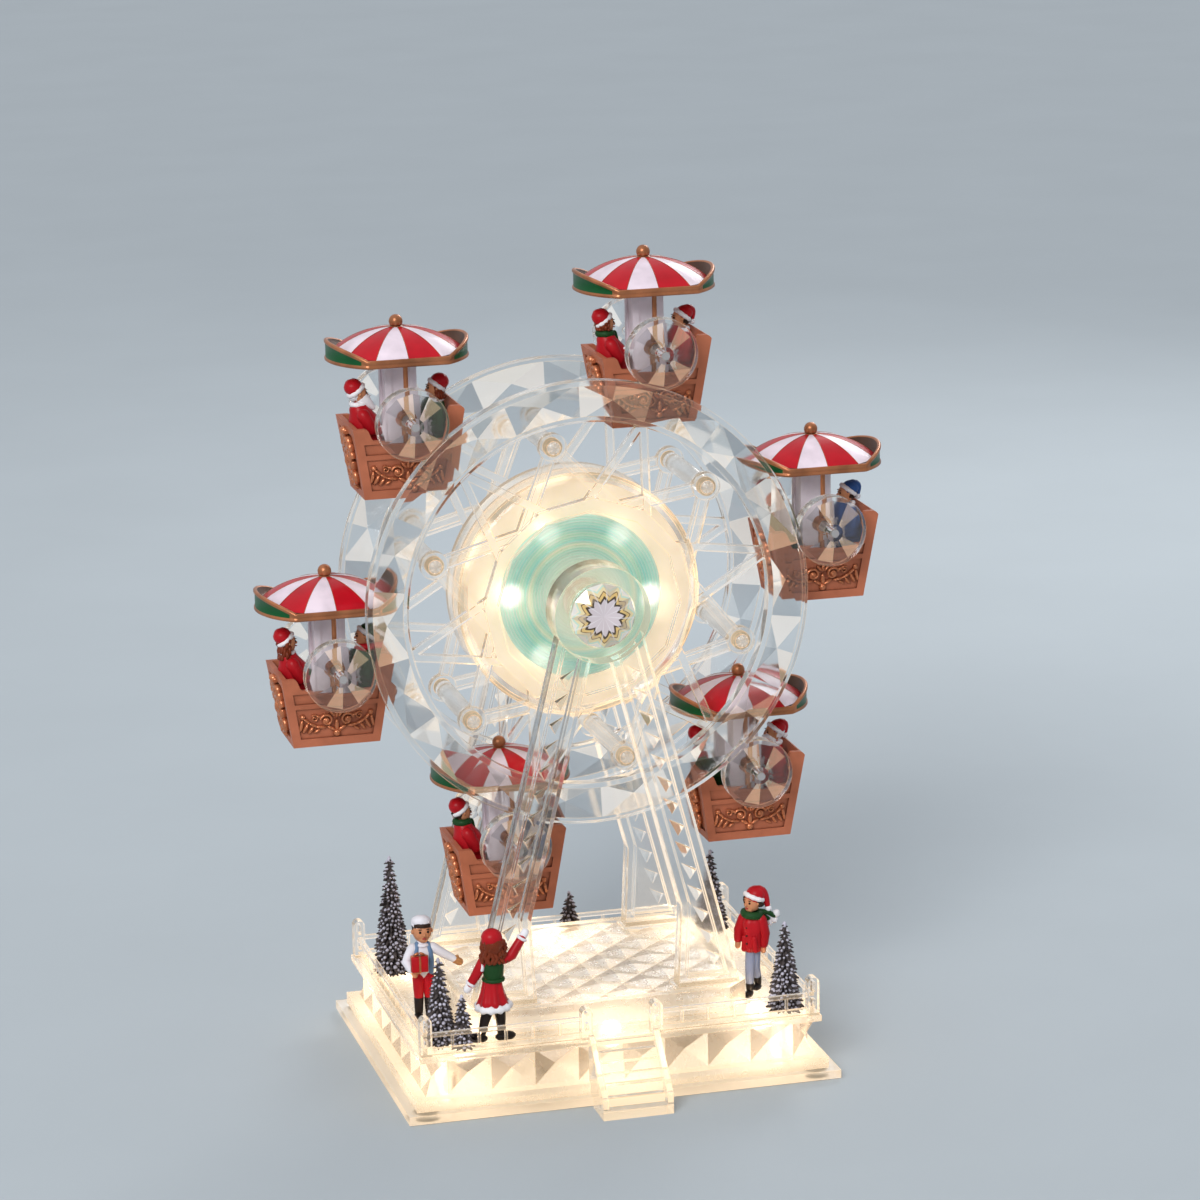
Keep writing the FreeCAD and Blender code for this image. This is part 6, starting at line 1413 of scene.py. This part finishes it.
class FERRIS_OT_stage(bpy.types.Operator):
    """Set up the floor, the lights and the camera"""
    bl_idname = "ferris.stage"
    bl_label = "Make stage"

    def execute(self, context):
        scene = context.scene
        scene.view_settings.view_transform = "Standard"
        self.make_floor(scene)
        self.make_world(scene)
        sun = bpy.data.lights.new("soft_sun", "SUN")
        sun.energy, sun.angle = 1.35, math.radians(25)
        holder = bpy.data.objects.new("soft_sun", sun)
        holder.rotation_euler = (math.radians(58), 0, math.radians(-32))
        scene.collection.objects.link(holder)
        for name, place, size, power, aim in (
            ("key_light", (-0.9, -1.0, 1.1), 0.5, 5.0, (0, 0, 0.15)),
            ("rim_light", (0.8, 1.0, 0.9), 0.5, 5.0, (0, 0, 0.18))):
            lamp = bpy.data.lights.new(name, "AREA")
            lamp.size = size
            lamp.energy = power
            holder = bpy.data.objects.new(name, lamp)
            holder.location = place
            toward = Vector(aim) - Vector(place)
            holder.rotation_euler = toward.to_track_quat("-Z", "Y").to_euler()
            scene.collection.objects.link(holder)
        self.make_camera(scene)
        return {"FINISHED"}

    def make_floor(self, scene):
        surface = Finish("pale_floor", settings().stage.backdrop, roughness=0.8, grain=60.0,
                         mottle=0.015, bump=0.02, Specular_IOR_Level=0.1)
        mesh = bpy.data.meshes.new("floor")
        reach = 14.0
        corners = [(x * reach, y * reach, 0) for x, y in ((-1, -1), (1, -1), (1, 1), (-1, 1))]
        mesh.from_pydata(corners, [], [(0, 1, 2, 3)])
        mesh.materials.append(surface.material)
        floor = bpy.data.objects.new("floor", mesh)
        scene.collection.objects.link(floor)

    def make_world(self, scene):
        """Even soft light; the eye sees the pale backdrop, and clear plastic a dimmer front."""
        world = bpy.data.worlds.new("studio")
        scene.world = world
        world.use_nodes = True
        tree = world.node_tree
        tree.nodes.clear()
        backdrop = opaque(settings().stage.backdrop)

        def node(kind, inputs=None, **options):
            return add_node(tree, "ShaderNode" + kind, inputs, **options)

        path = node("LightPath")
        bent = node("Math", {0: path.outputs["Is Glossy Ray"],
                             1: path.outputs["Is Transmission Ray"]}, operation="MAXIMUM")
        way = node("SeparateXYZ", {"Vector": node("TexCoord").outputs["Generated"]})
        rise = node("ValToRGB", {"Fac": way.outputs["Z"]})
        ramp_stops(rise, (0.0, settings().stage.backdrop), (1.0, (0.95, 0.96, 1.0)))
        front = node("MapRange", {"Value": way.outputs["Y"], "From Min": -0.8,
                                  "From Max": 0.1, "To Min": 0.35, "To Max": 1.0})
        soft = node("Background", {"Color": (0.93, 0.95, 1.0, 1.0), "Strength": 0.62})
        shown = node("Background", {"Color": backdrop, "Strength": 1.0})
        around = node("Background", {"Color": rise.outputs["Color"],
                                     "Strength": front.outputs["Result"]})
        inner = node("MixShader", {0: bent.outputs[0], 1: soft.outputs[0],
                                   2: around.outputs[0]})
        whole = node("MixShader", {0: path.outputs["Is Camera Ray"], 1: inner.outputs[0],
                                   2: shown.outputs[0]})
        node("OutputWorld", {"Surface": whole.outputs[0]})

    def make_camera(self, scene):
        view = settings().stage
        azimuth, elevation = math.radians(view.azimuth), math.radians(view.elevation)
        roll = math.radians(view.roll)
        back = Vector((-math.sin(azimuth) * math.cos(elevation),
                       -math.cos(azimuth) * math.cos(elevation), math.sin(elevation)))
        right = Vector((math.cos(azimuth), -math.sin(azimuth), 0))
        up = back.cross(right)
        aim = Vector((view.aim_right * math.cos(azimuth),
                      AXLE.y - view.aim_right * math.sin(azimuth), view.aim_up))
        rolled = right * math.cos(roll) + up * math.sin(roll)
        top = up * math.cos(roll) - right * math.sin(roll)
        camera = bpy.data.cameras.new("camera")
        camera.sensor_width = 36.0
        camera.lens = view.lens
        camera.shift_x, camera.shift_y = LENS_SHIFT
        camera.clip_end = 20.0
        holder = bpy.data.objects.new("camera", camera)
        place = Matrix((rolled, top, back)).transposed().to_4x4()
        place.translation = aim + back * view.distance
        holder.matrix_world = place
        scene.collection.objects.link(holder)
        scene.camera = holder


class FERRIS_OT_moulded_parts(bpy.types.Operator):
    """Give every moulded and inner part its finish"""
    bl_idname = "ferris.moulded_parts"
    bl_label = "Finish moulded parts"

    def execute(self, context):
        for finish_name, names in CAD_FINISHES.items():
            for name in names:
                for slot in NODES[name].material_slots:
                    slot.material = finish(finish_name)
        return {"FINISHED"}


class FerrisWheelSettings(bpy.types.PropertyGroup):
    canopy: PointerProperty(type=CanopySettings, name="Canopies", description="Painted canopies")
    trees: PointerProperty(type=TreeSettings, name="Trees", description="Snowy trees")
    light: PointerProperty(type=LightSettings, name="Lights", description="Built in lights")
    stage: PointerProperty(type=StageSettings, name="Stage", description="Camera and lights")


OPERATORS = (FERRIS_OT_moulded_parts, FERRIS_OT_canopies, FERRIS_OT_scrolls, FERRIS_OT_riders,
             FERRIS_OT_deck_figures, FERRIS_OT_trees, FERRIS_OT_stage)


class FERRIS_PT_panel(bpy.types.Panel):
    """Sizes, colours and the steps that dress the wheel"""
    bl_idname = "FERRIS_PT_panel"
    bl_label = "Ferris wheel"
    bl_space_type = "VIEW_3D"
    bl_region_type = "UI"
    bl_category = "Ferris wheel"

    def draw(self, context):
        given = context.scene.ferris_wheel
        for group in (given.canopy, given.trees, given.light, given.stage):
            column = self.layout.box().column()
            for name in group.__annotations__:
                column.prop(group, name)
        for operator in OPERATORS:
            self.layout.operator(operator.bl_idname)


CLASSES = (CanopySettings, TreeSettings, LightSettings, StageSettings, FerrisWheelSettings,
           *OPERATORS, FERRIS_PT_panel)


def register():
    for item in CLASSES:
        bpy.utils.register_class(item)
    bpy.types.Scene.ferris_wheel = PointerProperty(type=FerrisWheelSettings)


def unregister():
    del bpy.types.Scene.ferris_wheel
    for item in reversed(CLASSES):
        bpy.utils.unregister_class(item)


def main():
    register()
    make_finishes()
    for operator in OPERATORS:
        group, name = operator.bl_idname.split(".")
        getattr(getattr(bpy.ops, group), name)()


if __name__ == "__main__":
    main()
